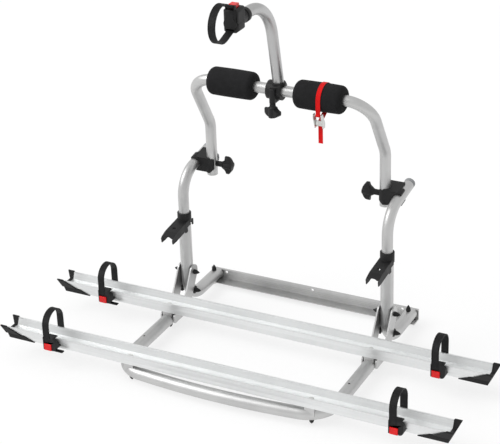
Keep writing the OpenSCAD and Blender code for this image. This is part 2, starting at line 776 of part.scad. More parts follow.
// Side knob for the right leg, pointing to the middle
module side_knob() color("black") translate([leg_x - pole_r - gap - neck_l, -leg_y, knob_z]) {
  rotate([0, -90, 0]) rotate([0, 0, -wing_turn]) wing_knob(neck_l);
  rotate([0, 90, 0]) cylinder(h = neck_l + gap + side_x - leg_x - gap, r = knob_bolt_r);
}

// The path of the upper frame, used for the tube and for its bore
module frame_path(r, more) {
  for (s = [-1, 1]) translate([s * leg_x, 0, 0]) {
    translate([0, -leg_y, leg_z0 - more]) cylinder(h = leg_z1 - leg_z0 + more + lap, r = r - seam);
    side_plane() bend([-leg_y - lean_r, leg_z1], lean_r, 0, lean, r);
  }
  translate([0, lean_y, lean_z]) rotate([lean, 0, 0]) {
    for (s = [-1, 1]) translate([s * leg_x, 0, -lap]) cylinder(h = slant - corner_r + 2 * lap, r = r - seam);
    rotate([90, 0, 0]) {
      bend([leg_x - corner_r, slant - corner_r], corner_r, 0, 90, r);
      bend([corner_r - leg_x, slant - corner_r], corner_r, 90, 90, r);
    }
    translate([0, 0, slant]) cross_rod(0, 0, 2 * (leg_x - corner_r + lap), r - seam);
  }
}

module upper_frame() color("gainsboro") difference() {
  frame_path(pole_r, 0);
  frame_path(pole_r - pole_wall, eps);
  cross_rod(-leg_y, knob_z, 2 * (leg_x + side_x), knob_bolt_r + run_fit);
}

// A foam pad between two places on the bar
module pad(a, b) color("black") translate([a, bar_y, bar_z]) rotate([0, 90, 0]) rotate_extrude() difference() {
  union() {
    square([pad_r - pad_round, b - a]);
    translate([0, pad_round]) square([pad_r, b - a - 2 * pad_round]);
    for (y = [pad_round, b - a - pad_round]) translate([pad_r - pad_round, y]) circle(r = pad_round);
  }
  square([pole_r + gap, b - a]);
}

loop_r = pad_r + gap;
loop_mid = loop_r + loop_t / 2;
// Place where the strap's rear branch meets the tail, and the turn at which that branch leaves the loop
tail_top = [-tail_y, -tail_drop];
tail_far = sqrt(tail_y * tail_y + tail_drop * tail_drop);
tail_turn = atan2(-tail_drop, -tail_y) + acos(loop_mid / tail_far);
tail_run = sqrt(tail_far * tail_far - loop_mid * loop_mid);
// Height of the pin that holds the strap's front branch
front_pin_z = cam_z1 - 3 * cam_pin;
// Distance of the cam's pin in front of the tail
cam_out = cam_r + loop_t / 2 + gap / 2;

// A straight piece of the red strap in the drawing plane
module strap_run(p, turn, l) translate([p[0], p[1], -loop_w / 2]) rotate([0, 0, turn])
  translate([0, seam - loop_t / 2, 0]) cube([l, loop_t - 2 * seam, loop_w]);

module red_strap() color("red") translate([loop_x, bar_y, bar_z]) side_plane() difference() {
  union() {
    strap_ring([0, 0], loop_mid, tail_turn, 180 - tail_turn, loop_w / 2, loop_t);
    strap_run([-loop_mid, lap], -90, bar_z - front_pin_z + lap);
    strap_run(tail_top, tail_turn + 90, tail_run + lap);
    strap_run(tail_top, -90, bar_z - tail_drop - tail_z0);
    translate([tail_top[0], tail_top[1], -loop_w / 2]) cylinder(h = loop_w, r = loop_t);
    translate([-loop_mid, front_pin_z - bar_z, -loop_w / 2]) cylinder(h = loop_w, r = cam_pin + loop_t);
  }
  translate([-loop_mid, front_pin_z - bar_z, -far / 2]) cylinder(h = far, r = cam_pin + run_fit);
}

// A folded sheet buckle round the strap's two ends
module strap_buckle() color("silver") translate([loop_x, bar_y - tail_y, 0]) {
  translate([-cam_half, loop_t / 2 + gap, cam_z0]) cube([2 * cam_half, cam_t, cam_pin_z + cam_r - cam_z0]);
  for (s = [-1, 1]) translate([s * (cam_half - cam_t / 2) + cam_t / 2, 0, 0]) rotate([0, -90, 0]) linear_extrude(cam_t)
    polygon([[cam_z0, -cam_cheek / 2], [cam_z0, loop_t / 2 + gap + cam_t], [cam_pin_z + cam_r, loop_t / 2 + gap + cam_t],
      [cam_z1, -cam_cheek / 2], [cam_z1, -cam_cheek], [front_pin_z - 2 * cam_pin, -cam_cheek]]);
  translate([0, -cam_out, cam_pin_z]) cross_rod(0, 0, 2 * cam_half, cam_pin);
  translate([0, tail_y - loop_mid, front_pin_z]) cross_rod(0, 0, 2 * cam_half, cam_pin);
}

// The lever that pinches the strap
module strap_cam() color("dimgray") translate([loop_x, bar_y - tail_y - cam_out, cam_pin_z]) difference() {
  union() {
    cross_rod(0, 0, 2 * (cam_half - cam_t - gap), cam_r);
    translate([-cam_half + cam_t + gap, -cam_r, 0]) cube([2 * (cam_half - cam_t - gap), cam_t, 3 * cam_r]);
  }
  cross_rod(0, 0, 3 * cam_half, cam_pin + run_fit);
}

// The clamp that holds the arm on the bar, before it is split into its halves
module arm_clamp() difference() {
  union() {
    translate([arm_clamp_x, bar_y, bar_z]) cross_rod(0, 0, 2 * arm_clamp_half, arm_clamp_r);
    intersection() {
      translate([arm_x, 0, 0]) side_plane() rod(arm_start, 90 + arm_lean, arm_l, socket_r, arm_base);
      translate([-far / 2, -far / 2, bar_z]) cube([far, far, socket_h]);
    }
    translate([arm_knob_x, bar_y - boss_y, bar_z - boss_low]) cylinder(h = boss_low + boss_top, r = boss_r);
    translate([arm_knob_x - boss_r, bar_y - boss_y, bar_z - boss_low]) cube([2 * boss_r, boss_y, boss_low + boss_top]);
  }
  cross_rod(bar_y, bar_z, far, bore_r);
  difference() {
    translate([arm_x, 0, 0]) side_plane() rod(arm_start, 90 + arm_lean, arm_l, bore_r + seam, gap);
    translate([arm_x, 0, 0]) side_plane() rod(arm_start, 90 + arm_lean, spigot_l, pole_r - pole_wall - run_fit, 2 * gap);
  }
  translate([arm_knob_x, bar_y - boss_y, bar_z - far / 2]) cylinder(h = far, r = knob_bolt_r + run_fit);
}

module arm_clamp_front() color("black") difference() {
  arm_clamp();
  back_half();
}

module arm_clamp_back() color("black") intersection() {
  arm_clamp();
  translate([0, split, 0]) back_half();
}

// The space behind the clamp's split, below the socket
module back_half() translate([-far / 2, bar_y, bar_z - far]) cube([far, far, far]);

module arm_knob() color("black") translate([arm_knob_x, bar_y - boss_y, bar_z - boss_low - gap - arm_neck_l]) {
  mirror([0, 0, 1]) rotate([0, 0, -arm_wing_turn]) wing_knob(arm_neck_l);
  cylinder(h = arm_neck_l + gap + boss_low + boss_top + gap, r = knob_bolt_r);
}

// The path of the bike arm, used for the tube and for its bore
module arm_path(r, more) side_plane() {
  rod(arm_start, 90 + arm_lean, arm_l, r, more, lap);
  bend(arm_centre, arm_bend_r, arm_lean, 90 - arm_lean, r);
  rod(arm_end, 180, arm_tip, r, lap, more);
}

module bike_arm() color("darkgray") translate([arm_x, 0, 0]) difference() {
  arm_path(pole_r, 0);
  arm_path(pole_r - pole_wall, eps);
}

// A rod along -Y from a depth on the head's axis
module head_rod(y, l, r) translate([arm_x, y, head_z]) rotate([90, 0, 0]) cylinder(h = l, r = r);

module arm_collar() color("black") difference() {
  head_rod(ring_y, ring_l, ring_r);
  head_rod(ring_y + eps, 2 * ring_l, pole_r + run_fit / 2);
}

// A rectangle from the bottom to the top of the head with rounded corners
module block_section(r, z0, z1) {
  translate([-jaw_half, z0 + r]) square([2 * jaw_half, z1 - z0 - 2 * r]);
  translate([-jaw_half + r, z0]) square([2 * (jaw_half - r), z1 - z0]);
  for (s = [-1, 1], z = [z0 + r, z1 - r]) translate([s * (jaw_half - r), z]) circle(r = r);
}

// Plan outline of the head with rounded upright edges
module block_plan() {
  translate([-jaw_half + jaw_edge, 0]) square([2 * (jaw_half - jaw_edge), jaw_l]);
  translate([-jaw_half, jaw_edge]) square([2 * jaw_half, jaw_l - 2 * jaw_edge]);
  for (s = [-1, 1], y = [jaw_edge, jaw_l - jaw_edge]) translate([s * (jaw_half - jaw_edge), y]) circle(r = jaw_edge);
}

// The middle piece of the head between two heights, with the round of one corner radius
module block(r, z0, z1) translate([arm_x, block_y, head_z]) intersection() {
  rotate([90, 0, 0]) linear_extrude(jaw_l) block_section(r, z0, z1);
  translate([0, -jaw_l, z0]) linear_extrude(z1 - z0) block_plan();
  translate([-jaw_half, 0, 0]) side_plane() linear_extrude(2 * jaw_half) {
    translate([-jaw_l, z0 + r]) square([jaw_l, z1 - z0 - 2 * r]);
    translate([r - jaw_l, z0]) square([jaw_l - 2 * r, z1 - z0]);
    for (y = [r - jaw_l, -r], z = [z0 + r, z1 - r]) translate([y, z]) circle(r = r);
  }
}

module head_body() color("black") difference() {
  union() {
    intersection() {
      block(jaw_r, -2 * jaw_low, jaw_top);
      translate([-far / 2, face_y, head_z]) cube([far, far, far]);
    }
    head_rod(ring_y - ring_l - gap, neck_gap + jaw_l - gap, head_neck_r);
    for (s = [-1, 1]) translate([arm_x + s * (head_strap_half + gap + lug_t / 2), 0, 0]) head_lug();
  }
  head_rod(ring_y + ring_l, ring_l * 2 + arm_tip - ring_at + gap, bore_r);
  translate([arm_x - red_half - gap, block_y - red_in - 2 * red_half - 2 * gap, head_z + jaw_top - red_pocket])
    cube([2 * (red_half + gap), 2 * (red_half + gap), far]);
  head_slot();
}

// The slot that takes the lower end of the head strap
module head_slot() translate([arm_x - head_strap_half - gap, face_y - eps, head_z - slot_drop - slot_h / 2])
  cube([2 * (head_strap_half + gap), slot_l + eps, slot_h]);

// Distance of the red button's rear side from the block's rear side
red_in = jaw_l / 2 - red_half;

// One of the two lugs that carry the head strap's pin
module head_lug() {
  translate([-lug_t / 2, face_y + head_pin_y, head_z + head_pin_z]) rotate([0, 90, 0]) cylinder(h = lug_t, r = eye_r);
  translate([-lug_t / 2, face_y + head_pin_y - eye_r, head_z + jaw_top - eye_r]) cube([lug_t, 2 * eye_r, head_pin_z - jaw_top + eye_r]);
  translate([-head_strap_half - lug_t, face_y + head_pin_y, head_z + head_pin_z]) rotate([0, 90, 0])
    cylinder(h = head_strap_half + lug_t, r = pin_r);
}

module head_jaw() color("black") difference() {
  intersection() {
    block(jaw_low_r, -jaw_low, 2 * jaw_top);
    translate([-far / 2, -far / 2, head_z - far - gap / 2]) cube([far, far, far]);
  }
  head_rod(far / 2, far, head_neck_r + run_fit);
  head_slot();
}

// The strap's band between two radii round the loop's centre
module strap_ring(c, big, from, turn, half, t = strap_t) translate([0, 0, -half]) translate([c[0], c[1], 0]) rotate([0, 0, from])
  rotate_extrude(angle = turn) translate([big - t / 2, 0]) square([t, 2 * half]);

head_pin = [face_y + head_pin_y, head_z + head_pin_z];
head_loop = [face_y - loop_y, head_z + loop_z];
// Place where the strap enters its slot, and the turn at which it leaves the loop there
slot_in = [face_y, head_z - slot_drop];
slot_gap = slot_in - head_loop;
slot_far = sqrt(slot_gap[0] * slot_gap[0] + slot_gap[1] * slot_gap[1]);
slot_turn = atan2(slot_gap[1], slot_gap[0]) - acos(head_loop_r / slot_far);
slot_run = sqrt(slot_far * slot_far - head_loop_r * head_loop_r);
// Angle at which the strap leaves its loop towards the pin
pin_gap = head_pin - head_loop;
pin_far = sqrt(pin_gap[0] * pin_gap[0] + pin_gap[1] * pin_gap[1]);
leave = atan2(pin_gap[1], pin_gap[0]) + acos(head_loop_r / pin_far);
leave_l = sqrt(pin_far * pin_far - head_loop_r * head_loop_r);

module head_strap() color("black") translate([arm_x, 0, 0]) side_plane() difference() {
  union() {
    strap_ring(head_loop, head_loop_r, leave, 360 + slot_turn - leave, head_strap_half);
    translate([slot_in[0], slot_in[1], -head_strap_half]) rotate([0, 0, slot_turn + 90])
      translate([-slot_run - lap, seam - strap_t / 2, 0]) cube([slot_run + lap + lower_run, strap_t - 2 * seam, 2 * head_strap_half]);
    translate([head_pin[0], head_pin[1], -head_strap_half]) rotate([0, 0, leave + 90])
      translate([0, seam - strap_t / 2, 0]) cube([leave_l + lap, strap_t - 2 * seam, 2 * head_strap_half]);
    translate([head_pin[0], head_pin[1], -head_strap_half]) cylinder(h = 2 * head_strap_half, r = eye_r);
  }
  translate([head_pin[0], head_pin[1], -far / 2]) cylinder(h = far, r = pin_r + run_fit);
}

module head_button() color("red") translate([arm_x - red_half, block_y - red_in - 2 * red_half - gap, head_z + jaw_top - red_pocket + 3 * eye_r / 4])
  cube([2 * red_half, 2 * red_half, red_pocket + red_out - 3 * eye_r / 4]);

// The path of the platform tube, used for the tube and for its bore
module deck_path(r, more) translate([0, 0, deck_z]) {
  both_sides() translate([0, -deck_bend_y - lap, 0]) rotate([-90, 0, 0]) cylinder(h = deck_bend_y - deck_rear + more + lap, r = r - seam);
  bend([deck_bend_r - side_x, -deck_bend_y], deck_bend_r, 180, deck_turn, r);
  bend([side_x - deck_bend_r, -deck_bend_y], deck_bend_r, -deck_turn, deck_turn, r);
  bend([0, deck_front + deck_arc], deck_arc, 180 + deck_turn - lap_turn, 2 * (90 - deck_turn + lap_turn), r - seam, wide_smooth);
}

// Depths and distances of the four rail bolts
rail_spots = [[side_x, -rear_rail_y], [front_bolt_x, -front_rail_y]];

module platform_tube() color("gainsboro") difference() {
  deck_path(tube_r, 0);
  deck_path(deck_bore, eps);
  for (p = rail_spots) both_sides(p[0]) translate([0, p[1], deck_z - 2 * tube_r]) cylinder(h = 4 * tube_r, r = bolt_r + bolt_fit);
  both_sides() translate([0, -deck_hole_y, deck_z]) cylinder(h = 2 * tube_r, r = deck_hole_r);
  for (y = foot_bolts) cross_rod(y, deck_z, far, bolt_r + bolt_fit);
}

foot_bolts = [-foot_bolt_near, -foot_bolt_near - foot_bolt_pitch];
knee = [upright_y - brace_l * sin(brace_lean), pivot_z - brace_l * cos(brace_lean)];

// Side outline of a brace plate
module brace_outline() {
  translate([upright_y, pivot_z]) circle(r = brace_half);
  translate([upright_y, pivot_z]) rotate([0, 0, -90 - brace_lean]) translate([0, -brace_half]) square([brace_l, 2 * brace_half]);
  intersection() {
    translate(knee) circle(r = brace_half);
    translate([knee[0] - far, -foot_low]) square(2 * far);
  }
  translate([-foot_front + foot_r, -foot_low]) square([foot_front - foot_r + knee[0], foot_top + foot_low]);
  translate([-foot_front, -foot_low + foot_r]) square([2 * foot_r, foot_top + foot_low - 2 * foot_r]);
  for (z = [-foot_low + foot_r, foot_top - foot_r]) translate([-foot_front + foot_r, z]) circle(r = foot_r);
}

module braces() color("gainsboro") for (x = [-brace_out, brace_x]) translate([x, 0, 0]) difference() {
  side_plane() linear_extrude(brace_t) brace_outline();
  cross_rod(upright_y, pivot_z, far, bolt_r + run_fit);
  for (y = foot_bolts) cross_rod(y, deck_z, far, bolt_r + bolt_fit);
}

module brace_bolts() color("silver") both_sides() for (y = foot_bolts) {
  cross_rod(y, deck_z, 2 * brace_out, bolt_r);
  for (s = [-1, 1]) translate([s * brace_out, y, deck_z]) rotate([0, s * 90, 0]) cylinder(h = head_h, r = head_r, $fn = 6);
}

// A block under a rail, before its hollow for the tube is cut
module saddle_block(p) translate([0, p[1], 0]) difference() {
  translate([-saddle_across, -saddle_half, deck_z]) cube([2 * saddle_across, 2 * saddle_half, rail_z - deck_z]);
  cylinder(h = far, r = bolt_r + bolt_fit);
}

module rail_saddles() color("gainsboro") for (s = [0, 1]) mirror([s, 0, 0]) {
  difference() {
    translate([side_x, 0, 0]) saddle_block(rail_spots[0]);
    translate([side_x, 0, deck_z]) rotate([90, 0, 0]) cylinder(h = far / 4, r = tube_r + run_fit);
  }
  difference() {
    translate([front_bolt_x, 0, 0]) saddle_block(rail_spots[1]);
    translate([0, 0, deck_z]) bend([side_x - deck_bend_r, -deck_bend_y], deck_bend_r, -deck_turn, deck_turn, tube_r + run_fit);
  }
}

module rail_bolts() color("silver") for (p = rail_spots) both_sides(p[0]) translate([0, p[1], 0]) {
  translate([0, 0, deck_z - tube_r - head_h]) cylinder(h = step_z + rail_wall - deck_z + tube_r + head_h, r = bolt_r);
  translate([0, 0, step_z + rail_wall]) cylinder(h = head_h / 2, r = head_r);
}

module rail_bolt_caps() color("black") for (p = rail_spots) both_sides(p[0])
  translate([0, p[1], deck_z - tube_r]) mirror([0, 0, 1]) difference() {
    pointed_cap(cap_r, 3 * cap_h / 4);
    translate([0, 0, -eps]) cylinder(h = head_h + eps, r = bolt_r);
  }

// Outer outline of a rail, grown outwards by a given amount
function rail_outline(more) = [[-band_half - more, rail_z - more], [band_half + more, rail_z - more],
  [band_half + more, step_z - more], [step_half + more, step_z - more], [top_half + more, rail_top],
  [-top_half - more, rail_top], [-step_half - more, step_z - more], [-band_half - more, step_z - more]];

// The open channel above the step
function channel(less) = [[less - step_half, step_z + rail_wall], [step_half - less, step_z + rail_wall],
  [top_half - less, rail_top + eps], [less - top_half, rail_top + eps]];

module rail_section() difference() {
  polygon(rail_outline(0));
  polygon(channel(rail_wall));
  translate([rail_wall - band_half, rail_z + rail_wall]) square([2 * (band_half - rail_wall), band_h - rail_wall]);
}

// Rolled lips along the top edges
module rail_lips() intersection() {
  for (s = [-1, 1]) translate([s * (top_half - rail_lip / 2) - rail_lip / 2, rail_top - rail_wall]) square([rail_lip, rail_wall]);
  polygon(rail_outline(0));
}

module rail(y, bolt_x) color("whitesmoke") translate([0, -y, 0]) difference() {
  translate([-rail_half, 0, 0]) side_plane() linear_extrude(2 * rail_half) {
    rail_section();
    rail_lips();
  }
  both_sides(bolt_x) cylinder(h = step_z + 2 * rail_wall, r = bolt_r + bolt_fit);
}

// Side outline of an end cap for the right end
module cap_outline() polygon([[cap_tip, rail_z - cap_wall - eps], [cap_end_low, rail_z - cap_wall - eps],
  [cap_end_top, rail_top + cap_wall], [cap_end_top - cap_strip, rail_top + cap_wall],
  [cap_end_low - 2 * cap_strip, rail_z + cap_rise], [cap_tip, rail_z - cap_wall / 2]]);

// An end cap for the right end of a rail
module end_cap(y) color("black") translate([0, -y, 0]) difference() {
  intersection() {
    translate([0, far / 2, 0]) rotate([90, 0, 0]) linear_extrude(far) cap_outline();
    translate([cap_tip, 0, 0]) side_plane() linear_extrude(cap_end_top - cap_tip) {
      polygon(rail_outline(cap_wall));
      translate([-top_half - cap_wall, rail_top - eps]) square([2 * (top_half + cap_wall), cap_wall]);
    }
  }
  side_plane() linear_extrude(rail_half) polygon(rail_outline(run_fit));
  side_plane() linear_extrude(rail_half + eps) translate([-far / 2, rail_top - 2 * eps]) square([far, far]);
  side_plane() linear_extrude(far) polygon(channel(rail_wall));
  side_plane() linear_extrude(far) translate([rail_wall - top_half, rail_top - eps]) square([2 * (top_half - rail_wall), far]);
}

// Body of a wheel holder, with its strap's middle at x = 0 and the rail's middle at y = 0
module holder(tail) color("black") {
  difference() {
    union() {
      translate([-buckle_left, -buckle_y, buckle_z0]) cube([buckle_left + buckle_right - buckle_round, buckle_y - band_half, buckle_z1 - buckle_z0]);
      translate([buckle_right - buckle_round, -band_half, buckle_z0 + buckle_round]) rotate([90, 0, 0])
        linear_extrude(buckle_y - band_half) buckle_end();
    }
    side_plane() translate([0, 0, -far / 2]) linear_extrude(far) polygon(rail_outline(gap));
    translate([-wheel_strap_half - gap, -buckle_y - eps, button_z1 + 2 * gap]) cube([2 * (wheel_strap_half + gap), strap_t + 3 * gap, far]);
    translate([-button_left - gap, -buckle_y - eps, button_z0 - gap]) cube([button_left + button_right + 2 * gap, pocket, button_h + 2 * gap]);
  }
  translate([-wheel_strap_half, -buckle_y + pocket, rail_z - gap - bridge_t])
    cube([2 * wheel_strap_half, buckle_y - pocket + pin_y + eye_r, bridge_t]);
  translate([-wheel_strap_half, -buckle_y + pocket, rail_z - gap - bridge_t])
    cube([2 * wheel_strap_half, buckle_y - pocket - band_half - gap, bridge_t + 2 * gap + buckle_z0 - rail_z]);
  translate([-wheel_strap_half, pin_y - pin_r, rail_z - gap - bridge_t]) cube([2 * wheel_strap_half, pin_r + eye_r, pin_z - eye_r - rail_z]);
  for (s = [-1, 1]) translate([s * (wheel_strap_half + gap + lug_t / 2) - lug_t / 2, 0, 0]) {
    translate([0, pin_y - pin_r, rail_z - gap - bridge_t]) cube([lug_t, pin_r + eye_r, pin_z - rail_z + gap + bridge_t]);
    translate([0, pin_y, pin_z]) rotate([0, 90, 0]) cylinder(h = lug_t, r = eye_r);
  }
  for (z = [rail_z - gap - bridge_t, rail_z + pin_r]) translate([-wheel_strap_half - lug_t, pin_y + pin_r, z]) cube([2 * (wheel_strap_half + lug_t), lug_t / 2, lug_t]);
  cross_rod(pin_y, pin_z, 2 * (wheel_strap_half + lug_t), pin_r);
  if (tail) translate([buckle_right - buckle_round, pocket - buckle_y, buckle_z0 - bridge_t]) cube([tail_l + buckle_round, buckle_round, bridge_t + eps]);
}

// The rounded right end of a buckle
module buckle_end() {
  translate([-eps, 0]) square([buckle_round + eps, buckle_z1 - buckle_z0 - 2 * buckle_round]);
  circle(r = buckle_round);
  translate([-eps, -buckle_round]) square([eps, buckle_z1 - buckle_z0]);
  translate([0, buckle_z1 - buckle_z0 - 2 * buckle_round]) circle(r = buckle_round);
}

module wheel_strap() color("black") side_plane() difference() {
  union() {
    strap_ring([-strap_off, strap_top - strap_t / 2 - strap_span], strap_span, 0, 180, wheel_strap_half);
    translate([-strap_off - strap_span - strap_t / 2, button_z1 + 3 * gap, -wheel_strap_half])
      cube([strap_t, strap_top - strap_span - strap_t / 2 - button_z1 - 3 * gap, 2 * wheel_strap_half]);
    translate([-strap_off + strap_span - strap_t / 2, pin_z, -wheel_strap_half])
      cube([strap_t, strap_top - strap_span - strap_t / 2 - pin_z, 2 * wheel_strap_half]);
    translate([pin_y, pin_z, -wheel_strap_half]) cylinder(h = 2 * wheel_strap_half, r = eye_r);
  }
  translate([pin_y, pin_z, -far / 2]) cylinder(h = far, r = pin_r + run_fit);
}

module wheel_button() color("red") translate([-button_left, -buckle_y - button_out, button_z0])
  cube([button_left + button_right, button_out + pocket / 2, button_h]);

// Places its children at one of the four wheel holders
module at_holder(s, y) translate([s * holder_x, -y, 0]) children();

wall_bar();
translate([-side_x, 0, 0]) side_tube();  // left_side_tube
translate([side_x, 0, 0]) side_tube();  // right_side_tube
hook_at(-1);  // left_hook
hook_at(1);  // right_hook
wall_bolts();
wall_bolt_caps();
pivot_bolts();
pivot_bolt_caps();
stop_bolts();
stop_bolt_caps();
translate([-side_x, 0, 0]) mast();  // left_mast
translate([side_x, 0, 0]) mast();  // right_mast
mast_plugs();
mirror([1, 0, 0]) side_clamp();  // left_clamp
side_clamp();  // right_clamp
clamp_shoes();
mirror([1, 0, 0]) side_knob();  // left_knob
side_knob();  // right_knob
upper_frame();
pad(pad_l0, pad_l1);  // left_pad
pad(pad_r0, pad_r1);  // right_pad
red_strap();
strap_buckle();
strap_cam();
arm_clamp_front();
arm_clamp_back();
arm_knob();
bike_arm();
arm_collar();
head_body();
head_jaw();
head_strap();
head_button();
platform_tube();
translate([-side_x, 0, 0]) braces();  // left_braces
translate([side_x, 0, 0]) braces();  // right_braces
brace_bolts();
rail_saddles();
rail_bolts();
rail_bolt_caps();
rail(rear_rail_y, side_x);  // rear_rail
rail(front_rail_y, front_bolt_x);  // front_rail
mirror([1, 0, 0]) end_cap(rear_rail_y);  // rear_left_end
end_cap(rear_rail_y);  // rear_right_end
mirror([1, 0, 0]) end_cap(front_rail_y);  // front_left_end
end_cap(front_rail_y);  // front_right_end
at_holder(-1, rear_rail_y) holder(true);  // rear_left_holder
at_holder(1, rear_rail_y) holder(false);  // rear_right_holder
at_holder(-1, front_rail_y) holder(true);  // front_left_holder
at_holder(1, front_rail_y) holder(false);  // front_right_holder
at_holder(-1, rear_rail_y) wheel_strap();  // rear_left_strap
at_holder(1, rear_rail_y) wheel_strap();  // rear_right_strap
at_holder(-1, front_rail_y) wheel_strap();  // front_left_strap
at_holder(1, front_rail_y) wheel_strap();  // front_right_strap
at_holder(-1, rear_rail_y) wheel_button();  // rear_left_button
at_holder(1, rear_rail_y) wheel_button();  // rear_right_button
at_holder(-1, front_rail_y) wheel_button();  // front_left_button
at_holder(1, front_rail_y) wheel_button();  // front_right_button
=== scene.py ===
import json
import math
import bpy
from mathutils import Matrix, Vector


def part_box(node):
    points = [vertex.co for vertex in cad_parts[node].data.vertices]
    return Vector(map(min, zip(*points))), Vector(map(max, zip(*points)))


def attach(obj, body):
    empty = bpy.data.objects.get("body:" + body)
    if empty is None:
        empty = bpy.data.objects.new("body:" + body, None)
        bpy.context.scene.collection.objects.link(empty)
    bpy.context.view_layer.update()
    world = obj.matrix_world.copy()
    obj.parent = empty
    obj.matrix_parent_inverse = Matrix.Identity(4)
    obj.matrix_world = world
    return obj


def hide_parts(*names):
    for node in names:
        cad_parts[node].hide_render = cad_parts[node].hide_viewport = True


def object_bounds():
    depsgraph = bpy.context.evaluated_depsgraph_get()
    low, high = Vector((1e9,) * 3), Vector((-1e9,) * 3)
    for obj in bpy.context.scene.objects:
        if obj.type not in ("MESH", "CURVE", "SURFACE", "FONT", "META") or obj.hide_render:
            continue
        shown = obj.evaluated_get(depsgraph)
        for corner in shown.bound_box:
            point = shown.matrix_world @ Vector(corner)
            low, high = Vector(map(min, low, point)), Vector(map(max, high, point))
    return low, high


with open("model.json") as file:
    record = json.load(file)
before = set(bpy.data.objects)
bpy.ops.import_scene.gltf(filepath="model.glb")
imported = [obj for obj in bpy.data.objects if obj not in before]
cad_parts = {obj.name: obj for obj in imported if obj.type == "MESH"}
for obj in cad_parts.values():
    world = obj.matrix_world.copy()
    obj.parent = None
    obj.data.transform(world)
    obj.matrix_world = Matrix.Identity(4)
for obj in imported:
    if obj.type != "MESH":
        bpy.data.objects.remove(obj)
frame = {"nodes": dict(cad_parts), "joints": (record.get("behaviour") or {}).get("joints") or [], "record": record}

CAD_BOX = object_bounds()
NODES = frame["nodes"]
JOINTS = {joint["name"]: joint for joint in frame["joints"]}
SLOT_OF = {part["node"]: part["material_slot"] for part in frame["record"]["subparts"]}
MM = 0.001


# Node graphs

class Graph:
    """Builds the nodes of one material or world."""

    def __init__(self, owner):
        owner.use_nodes = True
        self.owner = owner
        self.tree = owner.node_tree
        self.coord = self.tree.nodes.new("ShaderNodeTexCoord")

    def feed(self, socket, value):
        """Links a socket to another node's output, or gives it a constant."""
        if isinstance(value, bpy.types.NodeSocket):
            self.tree.links.new(value, socket)
        else:
            socket.default_value = value

    def node(self, kind, **values):
        """A new node. A value goes to the input of that name, or else to the node's property."""
        made = self.tree.nodes.new(kind)
        for key, value in values.items():
            socket = made.inputs.get(key.replace("_", " "))
            if socket is None:
                setattr(made, key, value)
            else:
                self.feed(socket, value)
        return made

    def mapped(self, scale=(1, 1, 1), source="Object"):
        vector = self.coord.outputs[source]
        return self.node("ShaderNodeMapping", Vector=vector, Scale=scale).outputs["Vector"]

    def noise(self, vector, scale, detail=2.0, rough=0.5):
        made = self.node("ShaderNodeTexNoise", Vector=vector, Scale=scale, Detail=detail, Roughness=rough)
        return made.outputs["Fac"]

    def ramp(self, value, low, high, start=0.3, stop=0.7, curve="LINEAR"):
        """low where value is at start, high where it is at stop."""
        made = self.node(
            "ShaderNodeMapRange",
            interpolation_type=curve,
            Value=value,
            From_Min=start,
            From_Max=stop,
            To_Min=low,
            To_Max=high,
        )
        return made.outputs["Result"]

    def mix(self, value, low, high):
        """A colour between low and high, each a colour or another node's output."""
        made = self.node("ShaderNodeMix", data_type="RGBA")
        factor, first, second, result = made.inputs[0], made.inputs[6], made.inputs[7], made.outputs[2]
        self.feed(factor, value)
        for socket, colour in ((first, low), (second, high)):
            self.feed(socket, (*colour, 1) if isinstance(colour, tuple) else colour)
        return result

    def calc(self, operation, a, b):
        made = self.node("ShaderNodeMath", operation=operation)
        self.feed(made.inputs[0], a)
        self.feed(made.inputs[1], b)
        return made.outputs[0]

    def dot(self, a, b):
        made = self.node("ShaderNodeVectorMath", operation="DOT_PRODUCT")
        self.feed(made.inputs[0], a)
        self.feed(made.inputs[1], b)
        return made.outputs["Value"]

    def edges(self, radius):
        """1 on sharp edges and 0 on open faces, from how far a rounded normal turns from the real one."""
        rounded = self.node("ShaderNodeBevel", samples=4, Radius=radius)
        geometry = self.node("ShaderNodeNewGeometry")
        alike = self.dot(rounded.outputs["Normal"], geometry.outputs["Normal"])
        return self.ramp(alike, 1, 0, start=0.80, stop=0.97)

    def bump(self, height, strength, distance, after=None):
        made = self.node("ShaderNodeBump", Strength=strength, Distance=distance, Height=height)
        if after is not None:
            self.feed(made.inputs["Normal"], after)
        return made.outputs["Normal"]

    def seen(self):
        """1 for what is seen straight, mirrored or through glass, and 0 for the light on the object."""
        path = self.node("ShaderNodeLightPath").outputs
        indirect = self.calc("MAXIMUM", path["Is Glossy Ray"], path["Is Transmission Ray"])
        return self.calc("MAXIMUM", path["Is Camera Ray"], indirect)

    def blend(self, value, first, second, output):
        """Shows the shader first where value is 0 and the shader second where it is 1."""
        join = self.node("ShaderNodeMixShader")
        self.feed(join.inputs[0], value)
        self.feed(join.inputs[1], first)
        self.feed(join.inputs[2], second)
        self.feed(self.tree.nodes[output].inputs["Surface"], join.outputs[0])

    def surface(self, **values):
        """Sets the main shader's inputs and returns the material."""
        for key, value in values.items():
            self.feed(self.tree.nodes["Principled BSDF"].inputs[key.replace("_", " ")], value)
        return self.owner


# Materials

